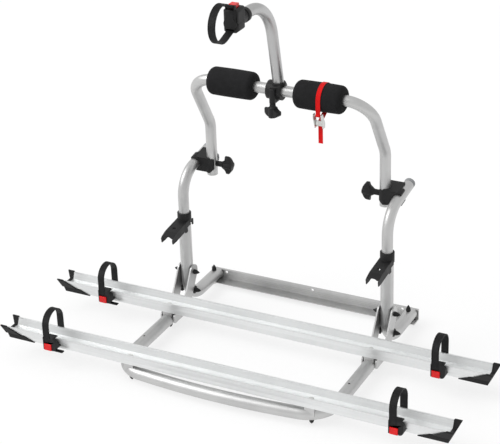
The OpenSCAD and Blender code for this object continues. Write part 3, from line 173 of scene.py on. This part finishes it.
def metal(name, dark, light, rough, grain=None, stripe=None):
    """Satin or drawn aluminium. grain stretches its fine lines, stripe adds faint broad die lines."""
    g = Graph(bpy.data.materials.new(name))
    here = g.mapped()
    if grain:
        fine = g.noise(g.mapped(grain), scale=1, detail=3.0, rough=0.6)
    else:
        fine = g.noise(here, scale=950, detail=3.0, rough=0.6)
    broad = g.noise(here, scale=11, detail=3.0, rough=0.55)
    spots = g.noise(here, scale=170, detail=4.0, rough=0.7)
    scratches = g.noise(g.mapped((40, 40, 420)), scale=1, detail=4.0, rough=0.65)
    scuff = g.ramp(scratches, 0, 1, start=0.66, stop=0.74)
    tone = g.calc("ADD", g.ramp(broad, 0, 0.75), g.calc("MULTIPLY", g.ramp(spots, 0, 1), 0.25))
    normal = g.bump(fine, strength=0.10, distance=0.0002)
    if stripe:
        lines = g.noise(g.mapped(stripe), scale=1)
        die_lines = g.calc("MULTIPLY", g.ramp(lines, 0, 1), 0.4)
        tone = g.calc("ADD", g.calc("MULTIPLY", tone, 0.6), die_lines)
        normal = g.bump(lines, strength=0.08, distance=0.0004, after=normal)
    sheen = g.ramp(spots, rough - 0.04, rough + 0.05)
    return g.surface(
        Base_Color=g.mix(tone, dark, light),
        Metallic=1.0,
        Roughness=g.calc("ADD", sheen, g.calc("MULTIPLY", scuff, 0.05)),
        Normal=normal,
    )


def steel(name, dark, light, rough):
    """Zinc plated steel with faint scratches."""
    g = Graph(bpy.data.materials.new(name))
    scratch = g.noise(g.mapped((60, 900, 900)), scale=1, detail=3.0, rough=0.6)
    broad = g.noise(g.mapped(), scale=120, detail=3.0, rough=0.6)
    return g.surface(
        Base_Color=g.mix(g.ramp(broad, 0, 1), dark, light),
        Metallic=1.0,
        Roughness=g.ramp(scratch, rough - 0.05, rough + 0.08),
        Normal=g.bump(scratch, strength=0.1, distance=0.0001),
    )


def plastic(name, dark, light, rough, grain=1500, coat=0.0, gloss=0.3):
    """Moulded plastic: a fine spark-eroded grain, uneven sheen and rubbed, paler edges."""
    g = Graph(bpy.data.materials.new(name))
    here = g.mapped()
    fine = g.noise(here, scale=grain)
    broad = g.noise(here, scale=45, detail=4.0, rough=0.6)
    rub = g.ramp(g.noise(here, scale=260, detail=3.0, rough=0.7), 0, 1, start=0.45)
    worn = tuple(min(1.0, v * 2.2 + 0.01) for v in light)
    edge = g.calc("MULTIPLY", g.edges(1.2 * MM), rub)
    return g.surface(
        Base_Color=g.mix(edge, g.mix(g.ramp(broad, 0, 1), dark, light), worn),
        Roughness=g.ramp(broad, rough - 0.06, rough + 0.08),
        Specular_IOR_Level=gloss,
        Normal=g.bump(fine, strength=0.22, distance=0.0001),
        Coat_Weight=coat,
        Coat_Roughness=0.15,
    )


def foam(name, dark, light):
    """Closed cell foam: small round cells and a slightly uneven skin."""
    g = Graph(bpy.data.materials.new(name))
    here = g.mapped()
    cells = g.node("ShaderNodeTexVoronoi", feature="F1", Vector=here, Scale=720).outputs["Distance"]
    skin = g.noise(here, scale=60, detail=3.0, rough=0.6)
    tone = g.calc("MULTIPLY", g.ramp(skin, 0.3, 1), g.ramp(cells, 0.2, 1, start=0, stop=0.6))
    under = g.bump(skin, strength=0.35, distance=0.0014)
    return g.surface(
        Base_Color=g.mix(tone, dark, light),
        Roughness=g.ramp(skin, 0.84, 0.95),
        Specular_IOR_Level=0.2,
        Normal=g.bump(cells, strength=0.45, distance=0.0004, after=under),
    )


def webbing(name, dark, light):
    """Woven strap: ribs across and along it, on the strap's own lengths in metres."""
    g = Graph(bpy.data.materials.new(name))
    run = g.mapped(source="UV")
    across = g.node("ShaderNodeTexWave", bands_direction="X", Vector=run, Scale=210).outputs["Fac"]
    along = g.node("ShaderNodeTexWave", bands_direction="Y", Vector=run, Scale=240).outputs["Fac"]
    weave = g.calc("MULTIPLY", across, along)
    wear = g.noise(run, scale=60, detail=3.0, rough=0.6)
    tone = g.calc("ADD", g.ramp(weave, 0.15, 0.7, start=0, stop=1), g.ramp(wear, 0, 0.3))
    return g.surface(
        Base_Color=g.mix(tone, dark, light),
        Roughness=g.ramp(wear, 0.6, 0.75),
        Specular_IOR_Level=0.2,
        Sheen_Weight=0.06,
        Sheen_Roughness=0.4,
        Normal=g.bump(weave, strength=0.6, distance=0.0003),
    )


# One material for each slot of the record, and one for the red strap's thread
MATERIALS = {
    "satin_aluminium": metal(
        "tube_aluminium", dark=(0.52, 0.52, 0.52), light=(0.63, 0.63, 0.625), rough=0.44
    ),
    "rail_aluminium": metal(
        "drawn_aluminium",
        dark=(0.76, 0.77, 0.77),
        light=(0.87, 0.88, 0.88),
        rough=0.46,
        grain=(6, 1400, 1400),
        stripe=(3, 260, 260),
    ),
    "arm_aluminium": metal(
        "arm_aluminium", dark=(0.46, 0.46, 0.46), light=(0.56, 0.56, 0.56), rough=0.40
    ),
    "bright_steel": steel(
        "zinc_steel", dark=(0.55, 0.55, 0.54), light=(0.72, 0.72, 0.70), rough=0.30
    ),
    "black_plastic": plastic(
        "moulded_black", dark=(0.0065, 0.0065, 0.007), light=(0.0125, 0.0125, 0.013), rough=0.50
    ),
    "grey_plastic": plastic(
        "moulded_grey", dark=(0.27, 0.28, 0.29), light=(0.35, 0.36, 0.37), rough=0.50
    ),
    "black_foam": foam(
        "black_foam", dark=(0.0075, 0.0075, 0.008), light=(0.0195, 0.0195, 0.0205)
    ),
    "red_webbing": webbing(
        "red_webbing", dark=(0.52, 0.0008, 0.0012), light=(0.98, 0.006, 0.007)
    ),
    "black_strap": plastic(
        "strap_black",
        dark=(0.0045, 0.0045, 0.005),
        light=(0.0095, 0.0095, 0.010),
        rough=0.52,
        grain=900,
        gloss=0.25,
    ),
    "red_plastic": plastic(
        "moulded_red",
        dark=(0.66, 0.002, 0.003),
        light=(0.86, 0.006, 0.007),
        rough=0.34,
        grain=1200,
        coat=0.15,
        gloss=0.35,
    ),
    "red_thread": webbing(
        "red_thread", dark=(0.40, 0.001, 0.001), light=(0.70, 0.003, 0.004)
    ),
}

# Radius in metres of the rounding on the edges of the CAD pieces
EDGE_RADIUS = {
    "black_plastic": 0.8 * MM,
    "grey_plastic": 0.5 * MM,
    "red_plastic": 1.2 * MM,
    "bright_steel": 0.3 * MM,
}


def soften(obj, radius):
    """Rounds an object's sharp edges a little, without touching its own mesh."""
    weld = obj.modifiers.new("weld", "WELD")
    weld.merge_threshold = 1e-6
    flat = obj.modifiers.new("flat", "DECIMATE")
    flat.decimate_type = "DISSOLVE"
    flat.angle_limit = math.radians(0.6)
    bevel = obj.modifiers.new("bevel", "BEVEL")
    bevel.width = radius
    bevel.segments = 2
    bevel.limit_method = "ANGLE"
    bevel.angle_limit = math.radians(35)
    bevel.use_clamp_overlap = False
    bevel.harden_normals = True


def finish_cad_pieces():
    for name, obj in NODES.items():
        slot = SLOT_OF[name]
        obj.data.materials.clear()
        obj.data.materials.append(MATERIALS[slot])
        if slot in EDGE_RADIUS:
            soften(obj, EDGE_RADIUS[slot])


# Camera, light and floor

# The view of the photo: angles in degrees, lens in mm and place in metres
CAMERA_AZIMUTH = 27.413
CAMERA_ELEVATION = 26.301
CAMERA_ROLL = -1.942
CAMERA_LENS = 118.99
CAMERA_PLACE = (1.76552, -3.78286, 2.28427)

# Where the light is brightest, seen from the object
BRIGHT = Vector((-0.65, -0.35, 0.67)).normalized()
KEY_STRENGTH = 1.25
KEY_SPREAD = 40
SKY_DARK = 0.26
SKY_LIGHT = 1.10

FLOOR_REACH = 60
FLOOR_DROP = 0.5 * MM
FLOOR_GLOW = 0.72


def build_camera():
    azimuth, elevation, roll = (math.radians(v) for v in (CAMERA_AZIMUTH, CAMERA_ELEVATION, CAMERA_ROLL))
    level = math.cos(elevation)
    forward = Vector((-math.sin(azimuth) * level, math.cos(azimuth) * level, -math.sin(elevation)))
    right = Vector((math.cos(azimuth), math.sin(azimuth), 0))
    up = right.cross(forward)
    rolled_right = math.cos(roll) * right + math.sin(roll) * up
    rolled_up = -math.sin(roll) * right + math.cos(roll) * up
    data = bpy.data.cameras.new("camera")
    data.sensor_width = 36
    data.lens = CAMERA_LENS
    data.clip_end = 200
    camera = bpy.data.objects.new("camera", data)
    bpy.context.scene.collection.objects.link(camera)
    turn = Matrix((rolled_right, rolled_up, -forward)).transposed().to_4x4()
    camera.matrix_world = Matrix.Translation(CAMERA_PLACE) @ turn
    bpy.context.scene.camera = camera


def build_world():
    """A soft studio: bright from the upper left, darker to the lower right, and white where it is seen."""
    world = bpy.data.worlds.new("studio")
    bpy.context.scene.world = world
    g = Graph(world)
    sky = g.tree.nodes["Background"]
    towards = g.dot(g.coord.outputs["Generated"], BRIGHT)
    g.feed(sky.inputs["Color"], (1, 1, 1, 1))
    g.feed(sky.inputs["Strength"], g.ramp(towards, SKY_DARK, SKY_LIGHT, -0.55, 0.85, "SMOOTHSTEP"))
    white = g.node("ShaderNodeBackground", Strength=1.0)
    g.blend(g.seen(), sky.outputs[0], white.outputs[0], "World Output")


def build_floor():
    """A pale floor that reads white where it is seen and keeps the object's soft shadow."""
    low = CAD_BOX[0].z - FLOOR_DROP
    corners = [(x * FLOOR_REACH, y * FLOOR_REACH, low) for x, y in ((-1, -1), (1, -1), (1, 1), (-1, 1))]
    mesh = bpy.data.meshes.new("floor")
    mesh.from_pydata(corners, [], [(0, 1, 2, 3)])
    floor = bpy.data.objects.new("floor", mesh)
    bpy.context.scene.collection.objects.link(floor)
    g = Graph(bpy.data.materials.new("floor_white"))
    seen = g.seen()
    unseen_colour = g.mix(g.noise(g.mapped(), scale=3), (0.55, 0.55, 0.55), (0.58, 0.58, 0.58))
    g.surface(Base_Color=g.mix(seen, unseen_colour, (0.93, 0.93, 0.93)), Roughness=0.9)
    glow = g.node("ShaderNodeEmission", Strength=1.0)
    plain = g.tree.nodes["Principled BSDF"]
    g.blend(g.calc("MULTIPLY", seen, FLOOR_GLOW), plain.outputs[0], glow.outputs[0], "Material Output")
    mesh.materials.append(g.owner)


def build_key():
    """A broad sun from the bright side."""
    data = bpy.data.lights.new("key", "SUN")
    data.energy = KEY_STRENGTH
    data.angle = math.radians(KEY_SPREAD)
    lamp = bpy.data.objects.new("key", data)
    bpy.context.scene.collection.objects.link(lamp)
    lamp.location = 3 * BRIGHT
    lamp.rotation_euler = (-BRIGHT).to_track_quat("-Z", "Y").to_euler()


# Helpers for the detailed pieces. Their lengths are in mm.

def pin_of(joint):
    """The place of a hinge, in mm."""
    return [v / MM for v in JOINTS[joint]["pos_m"]]


def node_box(node):
    """The lowest and highest corner of a CAD node, in mm."""
    return [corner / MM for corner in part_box(node)]


class Shape:
    """Collects the points, faces and strap lengths of one mesh."""

    def __init__(self):
        self.points = []
        self.lengths = []
        self.faces = []

    def add(self, point, run=None, across=0.0):
        """A point, with its place along and across a strap if it has one."""
        self.points.append(Vector(point) * MM)
        if run is not None:
            self.lengths.append((run * MM, across * MM))

    def ring_faces(self, start, count, rings, closed=False):
        """Joins rings of count points each, which begin at point start."""
        for k in range(rings if closed else rings - 1):
            near, far = start + k * count, start + (k + 1) % rings * count
            for i in range(count):
                after = (i + 1) % count
                self.faces.append((near + i, near + after, far + after, far + i))

    def piece(self, name, slot, body, finish=None):
        """Makes the mesh, gives it the finish of its slot and lets it ride on a body."""
        mesh = bpy.data.meshes.new(name)
        mesh.from_pydata([tuple(v) for v in self.points], [], self.faces)
        if self.lengths:
            layer = mesh.uv_layers.new(name="strap")
            for loop in mesh.loops:
                layer.data[loop.index].uv = self.lengths[loop.vertex_index]
        mesh.validate()
        mesh.update()
        obj = bpy.data.objects.new(name, mesh)
        bpy.context.scene.collection.objects.link(obj)
        mesh.polygons.foreach_set("use_smooth", [True] * len(mesh.polygons))
        mesh.materials.append(MATERIALS[finish or slot])
        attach(obj, body)
        return obj


# Foam pads

# The middle of the top bar and the radius of the foam round it, from a pad's own box
PAD_LOW, PAD_HIGH = node_box("right_pad")
BAR = (PAD_LOW + PAD_HIGH) / 2
PAD_RADIUS = (PAD_HIGH.z - PAD_LOW.z) / 2
PAD_BORE = 15.4
# Points of the soft lip at the bore: how far out from the bore, and how far in from the end
PAD_LIP = ((0.0, 3.4), (1.0, 1.6), (3.0, 0.5))
PAD_END_ROUND = 15.0
PAD_CROWN = 0.6
# The foam swells by this share, none of it at the radius FROM and all of it OVER further out
PAD_SWELL = 0.004
PAD_SWELL_FROM = 20
PAD_SWELL_OVER = 15
# Share, waves round the pad, phase and turn for each mm along it
PAD_WAVES = ((0.6, 3, 0.0, 0.02), (0.4, 5, 1.3, 0.05))
PAD_STEPS = 96
PAD_END_STEPS = 14


def pad_profile(x0, x1):
    """Half section of a foam sleeve as (radius, x), round the outside from the left end of the bore."""
    quarter = [(PAD_BORE + out, x0 + inward) for out, inward in PAD_LIP]
    for i in range(PAD_END_STEPS + 1):
        a = math.pi / 2 * i / PAD_END_STEPS
        r = PAD_RADIUS - PAD_CROWN - PAD_END_ROUND * (1 - math.sin(a))
        quarter.append((r, x0 + PAD_END_ROUND * (1 - math.cos(a))))
    middle = (x0 + x1) / 2
    half = (x1 - x0) / 2 - PAD_END_ROUND
    crown = []
    for i in range(1, PAD_END_STEPS):
        t = -1 + 2 * i / PAD_END_STEPS
        crown.append((PAD_RADIUS - PAD_CROWN * t * t, middle + half * t))
    mirrored = [(r, 2 * middle - x) for r, x in reversed(quarter)]
    return quarter + crown + mirrored


def build_pad(side):
    """A foam sleeve round the top bar, with an outside that is not quite round."""
    node = f"{side}_pad"
    low, high = node_box(node)
    profile = pad_profile(low.x, high.x)
    shape = Shape()
    for k in range(PAD_STEPS):
        a = 2 * math.pi * k / PAD_STEPS
        for r, x in profile:
            ripple = sum(share * math.sin(n * a + phase + slant * x) for share, n, phase, slant in PAD_WAVES)
            swell = 1 + PAD_SWELL * ripple * max(0, (r - PAD_SWELL_FROM) / PAD_SWELL_OVER)
            shape.add((x, BAR.y + r * swell * math.cos(a), BAR.z + r * swell * math.sin(a)))
    shape.ring_faces(0, len(profile), PAD_STEPS, closed=True)
    pad = shape.piece(f"{side}_foam_pad", "black_foam", "frame")
    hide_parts(node)


# Paths of straps: lists of ((y, z), outward normal (y, z))

def line(start, end, steps, normal):
    (y0, z0), (y1, z1) = start, end
    return [((y0 + (y1 - y0) * i / steps, z0 + (z1 - z0) * i / steps), normal) for i in range(steps + 1)]


def arc(centre, radius, start, turn, steps):
    """An arc from the angle start through turn, in degrees."""
    made = []
    for i in range(steps + 1):
        normal = heading(start + turn * i / steps)
        made.append((beside(centre, normal, radius), normal))
    return made


def heading(degrees):
    """The (y, z) direction of an angle."""
    return math.cos(math.radians(degrees)), math.sin(math.radians(degrees))


def beside(point, direction, distance):
    """The point that lies at a distance from another one in a direction."""
    return point[0] + direction[0] * distance, point[1] + direction[1] * distance


def touch_angle(centre, radius, point):
    """The angle, in degrees, at which the tangent through point touches a circle, on the side past point."""
    y, z = point[0] - centre[0], point[1] - centre[1]
    return math.degrees(math.atan2(z, y) + math.acos(radius / math.hypot(y, z)))


EYE_CHAMFER = 0.4
EYE_STEPS = 32


class Strap(Shape):
    """A section of (across, through) points drawn along a path. Through is 0 on the inner face."""

    def __init__(self, path, section, half, thick, x_mid):
        super().__init__()
        self.path = path
        self.half = half
        self.thick = thick
        self.x_mid = x_mid
        self.runs = [0.0]
        for (here, _), (before, _) in zip(path[1:], path):
            self.runs.append(self.runs[-1] + math.dist(here, before))
        for run, ((y, z), (ny, nz)) in zip(self.runs, path):
            for x, through in section:
                self.add_at((y, z, ny, nz), run, x, through)
        count = len(section)
        self.ring_faces(0, count, len(path))
        self.faces.append(tuple(range(count))[::-1])
        self.faces.append(tuple((len(path) - 1) * count + i for i in range(count)))

    def add_at(self, place, run, x, through):
        y, z, ny, nz = place
        d = through - self.thick / 2
        self.add((self.x_mid + x, y + ny * d, z + nz * d), run, x)

    def place(self, run):
        """(y, z, normal y, normal z) at a length along the path."""
        k = 1
        while k < len(self.path) - 1 and self.runs[k] < run:
            k += 1
        t = (run - self.runs[k - 1]) / max(1e-9, self.runs[k] - self.runs[k - 1])
        before, after = self.path[k - 1], self.path[k]
        return [before[j][m] * (1 - t) + after[j][m] * t for j in (0, 1) for m in (0, 1)]

    def add_eye(self, centre, outer, inner):
        """A ring round a pin."""
        start, half = len(self.points), self.half
        section = (
            (outer - EYE_CHAMFER, -half),
            (outer, -half + EYE_CHAMFER),
            (outer, half - EYE_CHAMFER),
            (outer - EYE_CHAMFER, half),
            (inner, half),
            (inner, -half),
        )
        for k in range(EYE_STEPS):
            a = 2 * math.pi * k / EYE_STEPS
            for r, x in section:
                y, z = centre[0] + r * math.cos(a), centre[1] + r * math.sin(a)
                self.add((self.x_mid + x, y, z), a * outer, x)
        self.ring_faces(start, len(section), EYE_STEPS, closed=True)

    def strap_piece(self, name, slot, body, node, sharp):
        """The strap in place of a CAD node, with edges over sharp degrees kept crisp."""
        obj = self.piece(name, slot, body)
        edge = obj.modifiers.new("edge", "EDGE_SPLIT")
        edge.split_angle = math.radians(sharp)
        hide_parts(node)


# Ribbed straps of the wheel holders and the head

BAND_HALF = 10.0
BAND_THICK = 3.0
BAND_CHAMFER = 0.35
BAND_RIM = 2.3
BAND_RIM_SLOPE = 0.2
BAND_SUNK = 0.9
TEETH_FROM = 10.0
TEETH_END_GAP = 4.0
TOOTH_PITCH = 3.0
TOOTH_SIDE_GAP = 0.6
TOOTH_FOOT_SUNK = 0.1
TOOTH_TIP_BELOW = 0.15
# Where a tooth's tip begins and ends and where its back ends, as shares of the pitch
TOOTH_SHARES = (0.72, 0.82, 0.98)
BAND_EYE = 4.5
BAND_EYE_BORE = 2.6

WHEEL_LOOP_TOP = 127.0
WHEEL_LOOP_RADIUS = 36.0
WHEEL_PIN_OFF = 36.3
WHEEL_END_Z = 40.5

HEAD_LOOP_RADIUS = 47.0
HEAD_LOOP_FROM_PIN = (-53.0, -26.0)
HEAD_LOOP_TURN = 223.76
HEAD_TAIL = 40.6


def band_section():
    """The outer face of a band has two edge rails and a sunk middle between them."""
    half, thick, c = BAND_HALF, BAND_THICK, BAND_CHAMFER
    rim, floor = half - BAND_RIM, thick - BAND_SUNK
    return [
        (-half, c),
        (-half + c, 0),
        (half - c, 0),
        (half, c),
        (half, thick - c),
        (half - c, thick),
        (rim, thick),
        (rim - BAND_RIM_SLOPE, floor),
        (-rim + BAND_RIM_SLOPE, floor),
        (-rim, thick),
        (-half + c, thick),
        (-half, thick - c),
    ]


def add_teeth(strap):
    """Ratchet teeth in the sunk middle, each with a long ramp and a steep back."""
    foot, tip = BAND_THICK - BAND_SUNK - TOOTH_FOOT_SUNK, BAND_THICK - TOOTH_TIP_BELOW
    edge = BAND_HALF - BAND_RIM - TOOTH_SIDE_GAP
    rise, fall, back = TOOTH_SHARES
    run = TEETH_FROM
    while run + TOOTH_PITCH < strap.runs[-1] - TEETH_END_GAP:
        first = len(strap.points)
        for share, through in ((0, foot), (rise, tip), (fall, tip), (back, foot)):
            here = run + share * TOOTH_PITCH
            for x in (-edge, edge):
                strap.add_at(strap.place(here), here, x, through)
        for corners in ((0, 1, 3, 2), (2, 3, 5, 4), (4, 5, 7, 6), (0, 2, 4, 6), (1, 7, 5, 3)):
            strap.faces.append(tuple(first + i for i in corners))
        run += TOOTH_PITCH


def build_band(name, path, body, x_mid, pin, node):
    strap = Strap(path, band_section(), BAND_HALF, BAND_THICK, x_mid)
    add_teeth(strap)
    strap.add_eye(pin, BAND_EYE, BAND_EYE_BORE)
    strap.strap_piece(name, "black_strap", body, node, sharp=40)


def build_wheel_strap(row, side):
    """Up from the pin, over the wheel and down to the release button."""
    x, pin_y, pin_z = pin_of(f"{row}_{side}_strap_open")
    middle = pin_y - WHEEL_PIN_OFF
    bend_z = WHEEL_LOOP_TOP - BAND_THICK / 2 - WHEEL_LOOP_RADIUS
    near, far = middle + WHEEL_LOOP_RADIUS, middle - WHEEL_LOOP_RADIUS
    path = line((near, pin_z), (near, bend_z), 8, (1, 0))[:-1]
    path += arc((middle, bend_z), WHEEL_LOOP_RADIUS, 0, 180, 48)[:-1]
    path += line((far, bend_z), (far, WHEEL_END_Z), 10, (-1, 0))
    name = f"{row}_{side}"
    build_band(f"{name}_wheel_strap", path, f"{name}_loop", x, (pin_y, pin_z), f"{name}_strap")


def build_head_strap():
    """From the pin round the bicycle's frame and back into the head."""
    x, *pin = pin_of("head_loop_open")
    loop = (pin[0] + HEAD_LOOP_FROM_PIN[0], pin[1] + HEAD_LOOP_FROM_PIN[1])
    start = touch_angle(loop, HEAD_LOOP_RADIUS, pin)
    start_out, end_out = heading(start), heading(start + HEAD_LOOP_TURN)
    away = beside(loop, end_out, HEAD_LOOP_RADIUS)
    tail_end = beside(away, (-end_out[1], end_out[0]), HEAD_TAIL)
    path = line(pin, beside(loop, start_out, HEAD_LOOP_RADIUS), 8, start_out)[:-1]
    path += arc(loop, HEAD_LOOP_RADIUS, start, HEAD_LOOP_TURN, 60)[:-1]
    path += line(away, tail_end, 12, end_out)
    build_band("head_wrap_strap", path, "head_loop", x, pin, "head_strap")


# Red webbing strap

RIBBON_HALF = 6.5
RIBBON_THICK = 1.5
# Points of the round selvedge: how far in from the side, and how far from the inner face
RIBBON_SELVEDGE = ((0.0, RIBBON_THICK / 2), (0.25, 0.12), (0.9, 0.0), (1.5, 0.12))
RIBBON_EYE = 3.4
RIBBON_EYE_BORE = 1.9
RED_LOOP_RADIUS = 39.15
RED_PIN_RISE = 27.6
RED_PIN_SLACK = 2.6
RED_FOLD_FROM_BAR = (-24.0, -56.0)
RED_FOLD_GAP = 1.2
RED_TAIL_END_Z = 568.5
# First and last length of each sewn stretch
RED_SEWN = ((6.0, 18.0), (232.0, 241.0))
STITCH_LENGTH = 1.7
STITCH_PITCH = 2.4
STITCH_ROW_INSET = 1.9
STITCH_CROSS_INSET = 2.2
STITCH_LIFT = 0.05
STITCH_HALF = 0.26
STITCH_RISE = 0.22
STITCH_END_HALF = 0.08
# Length of the weave's pattern that the height of a thread spans, so the weave's light and dark bands move from a
# thread's foot to its top as painted shading over its arch
STITCH_SHADE_RUN = 3
# Points over a thread, as shares of its half width and its height
STITCH_ARCH_SHARES = ((-1, 0), (-0.6, 0.8), (0.6, 0.8), (1, 0))
# Half a thread's width and height at these shares of its length
STITCH_STATIONS = (
    (0, STITCH_END_HALF, 0),
    (0.25, STITCH_HALF, STITCH_RISE),
    (0.75, STITCH_HALF, STITCH_RISE),
    (1, STITCH_END_HALF, 0),
)


def ribbon_section():
    """A thin band with a round selvedge along each side."""
    lower = [(-RIBBON_HALF + x, through) for x, through in RIBBON_SELVEDGE]
    lower += [(-x, through) for x, through in reversed(lower)]
    upper = [(x, RIBBON_THICK - through) for x, through in reversed(lower[1:-1])]
    return lower + upper


def stitch_places(start, stop):
    """(run, run, across, across) of each stitch: two rows along the strap and three across it."""
    side = RIBBON_HALF - STITCH_ROW_INSET
    wide = 2 * (RIBBON_HALF - STITCH_CROSS_INSET)
    made = []
    for x in (-side, side):
        for i in range(int((stop - start) / STITCH_PITCH)):
            run = start + STITCH_PITCH * i
            made.append((run, run + STITCH_LENGTH, x, x))
    for run in (start, (start + stop) / 2, stop):
        for i in range(int(wide / STITCH_PITCH)):
            x = -wide / 2 + STITCH_PITCH * i
            made.append((run, run, x, x + STITCH_LENGTH))
    return made


def add_stitch(shape, strap, stitch, side):
    """One raised thread on the outer (side 1) or inner (side -1) face of a strap."""
    run0, run1, x0, x1 = stitch
    y0, z0, ny, nz = strap.place(run0)
    y1, z1 = strap.place(run1)[:2]
    d = (RIBBON_THICK / 2 + STITCH_LIFT) * side
    up = Vector((0, ny, nz)).normalized() * side
    wide = Vector((x1 - x0, y1 - y0, z1 - z0)).normalized().cross(up)
    a = Vector((strap.x_mid + x0, y0 + ny * d, z0 + nz * d))
    b = Vector((strap.x_mid + x1, y1 + ny * d, z1 + nz * d))
    start = len(shape.points)
    count = len(STITCH_ARCH_SHARES)
    for along, half, rise in STITCH_STATIONS:
        for c, e in STITCH_ARCH_SHARES:
            # The weave's place moves with the thread's height: painted shading from the foot of each thread to its
            # top
            shape.add(a + (b - a) * along + wide * half * c + up * rise * e, run0 + STITCH_SHADE_RUN * e, c)
    for i in range(len(STITCH_STATIONS) - 1):
        for j in range(count - 1):
            q = start + count * i + j
            shape.faces.append((q, q + 1, q + count + 1, q + count))


def build_red_strap():
    """From the buckle's pin round the right pad, down to the fold and on as a loose tail."""
    x, _, cam_z = pin_of("cam_lift")
    centre = (BAR.y, BAR.z)
    pin = (BAR.y - RED_LOOP_RADIUS, cam_z + RED_PIN_RISE)
    fold = (BAR.y + RED_FOLD_FROM_BAR[0], BAR.z + RED_FOLD_FROM_BAR[1])
    leave = touch_angle(centre, RED_LOOP_RADIUS, fold)
    out = heading(leave)
    leave_at = beside(centre, out, RED_LOOP_RADIUS)
    branch_end = beside(fold, (-out[1], out[0]), RED_FOLD_GAP)
    path = line((pin[0], pin[1] + RED_PIN_SLACK), (pin[0], BAR.z), 14, (-1, 0))[:-1]
    path += arc(centre, RED_LOOP_RADIUS, 180, leave - 180, 72)[:-1]
    path += line(leave_at, branch_end, 14, out)
    path += line((fold[0], fold[1] - RED_FOLD_GAP), (fold[0], RED_TAIL_END_Z), 24, (1, 0))
    strap = Strap(path, ribbon_section(), RIBBON_HALF, RIBBON_THICK, x)
    strap.add_eye(pin, RIBBON_EYE, RIBBON_EYE_BORE)
    strap.strap_piece("red_webbing_strap", "red_webbing", "frame", "red_strap", sharp=50)
    thread = Shape()
    for start, stop in RED_SEWN:
        for stitch in stitch_places(start, stop):
            for side in (-1, 1):
                add_stitch(thread, strap, stitch, side)
    thread.piece("red_webbing_strap_stitches", "red_webbing", "frame", finish="red_thread")


bpy.context.scene.view_settings.view_transform = "Standard"
finish_cad_pieces()
build_camera()
build_world()
build_floor()
build_key()
for pad_side in ("left", "right"):
    build_pad(pad_side)
for rail_row in ("rear", "front"):
    for rail_side in ("left", "right"):
        build_wheel_strap(rail_row, rail_side)
build_head_strap()
build_red_strap()
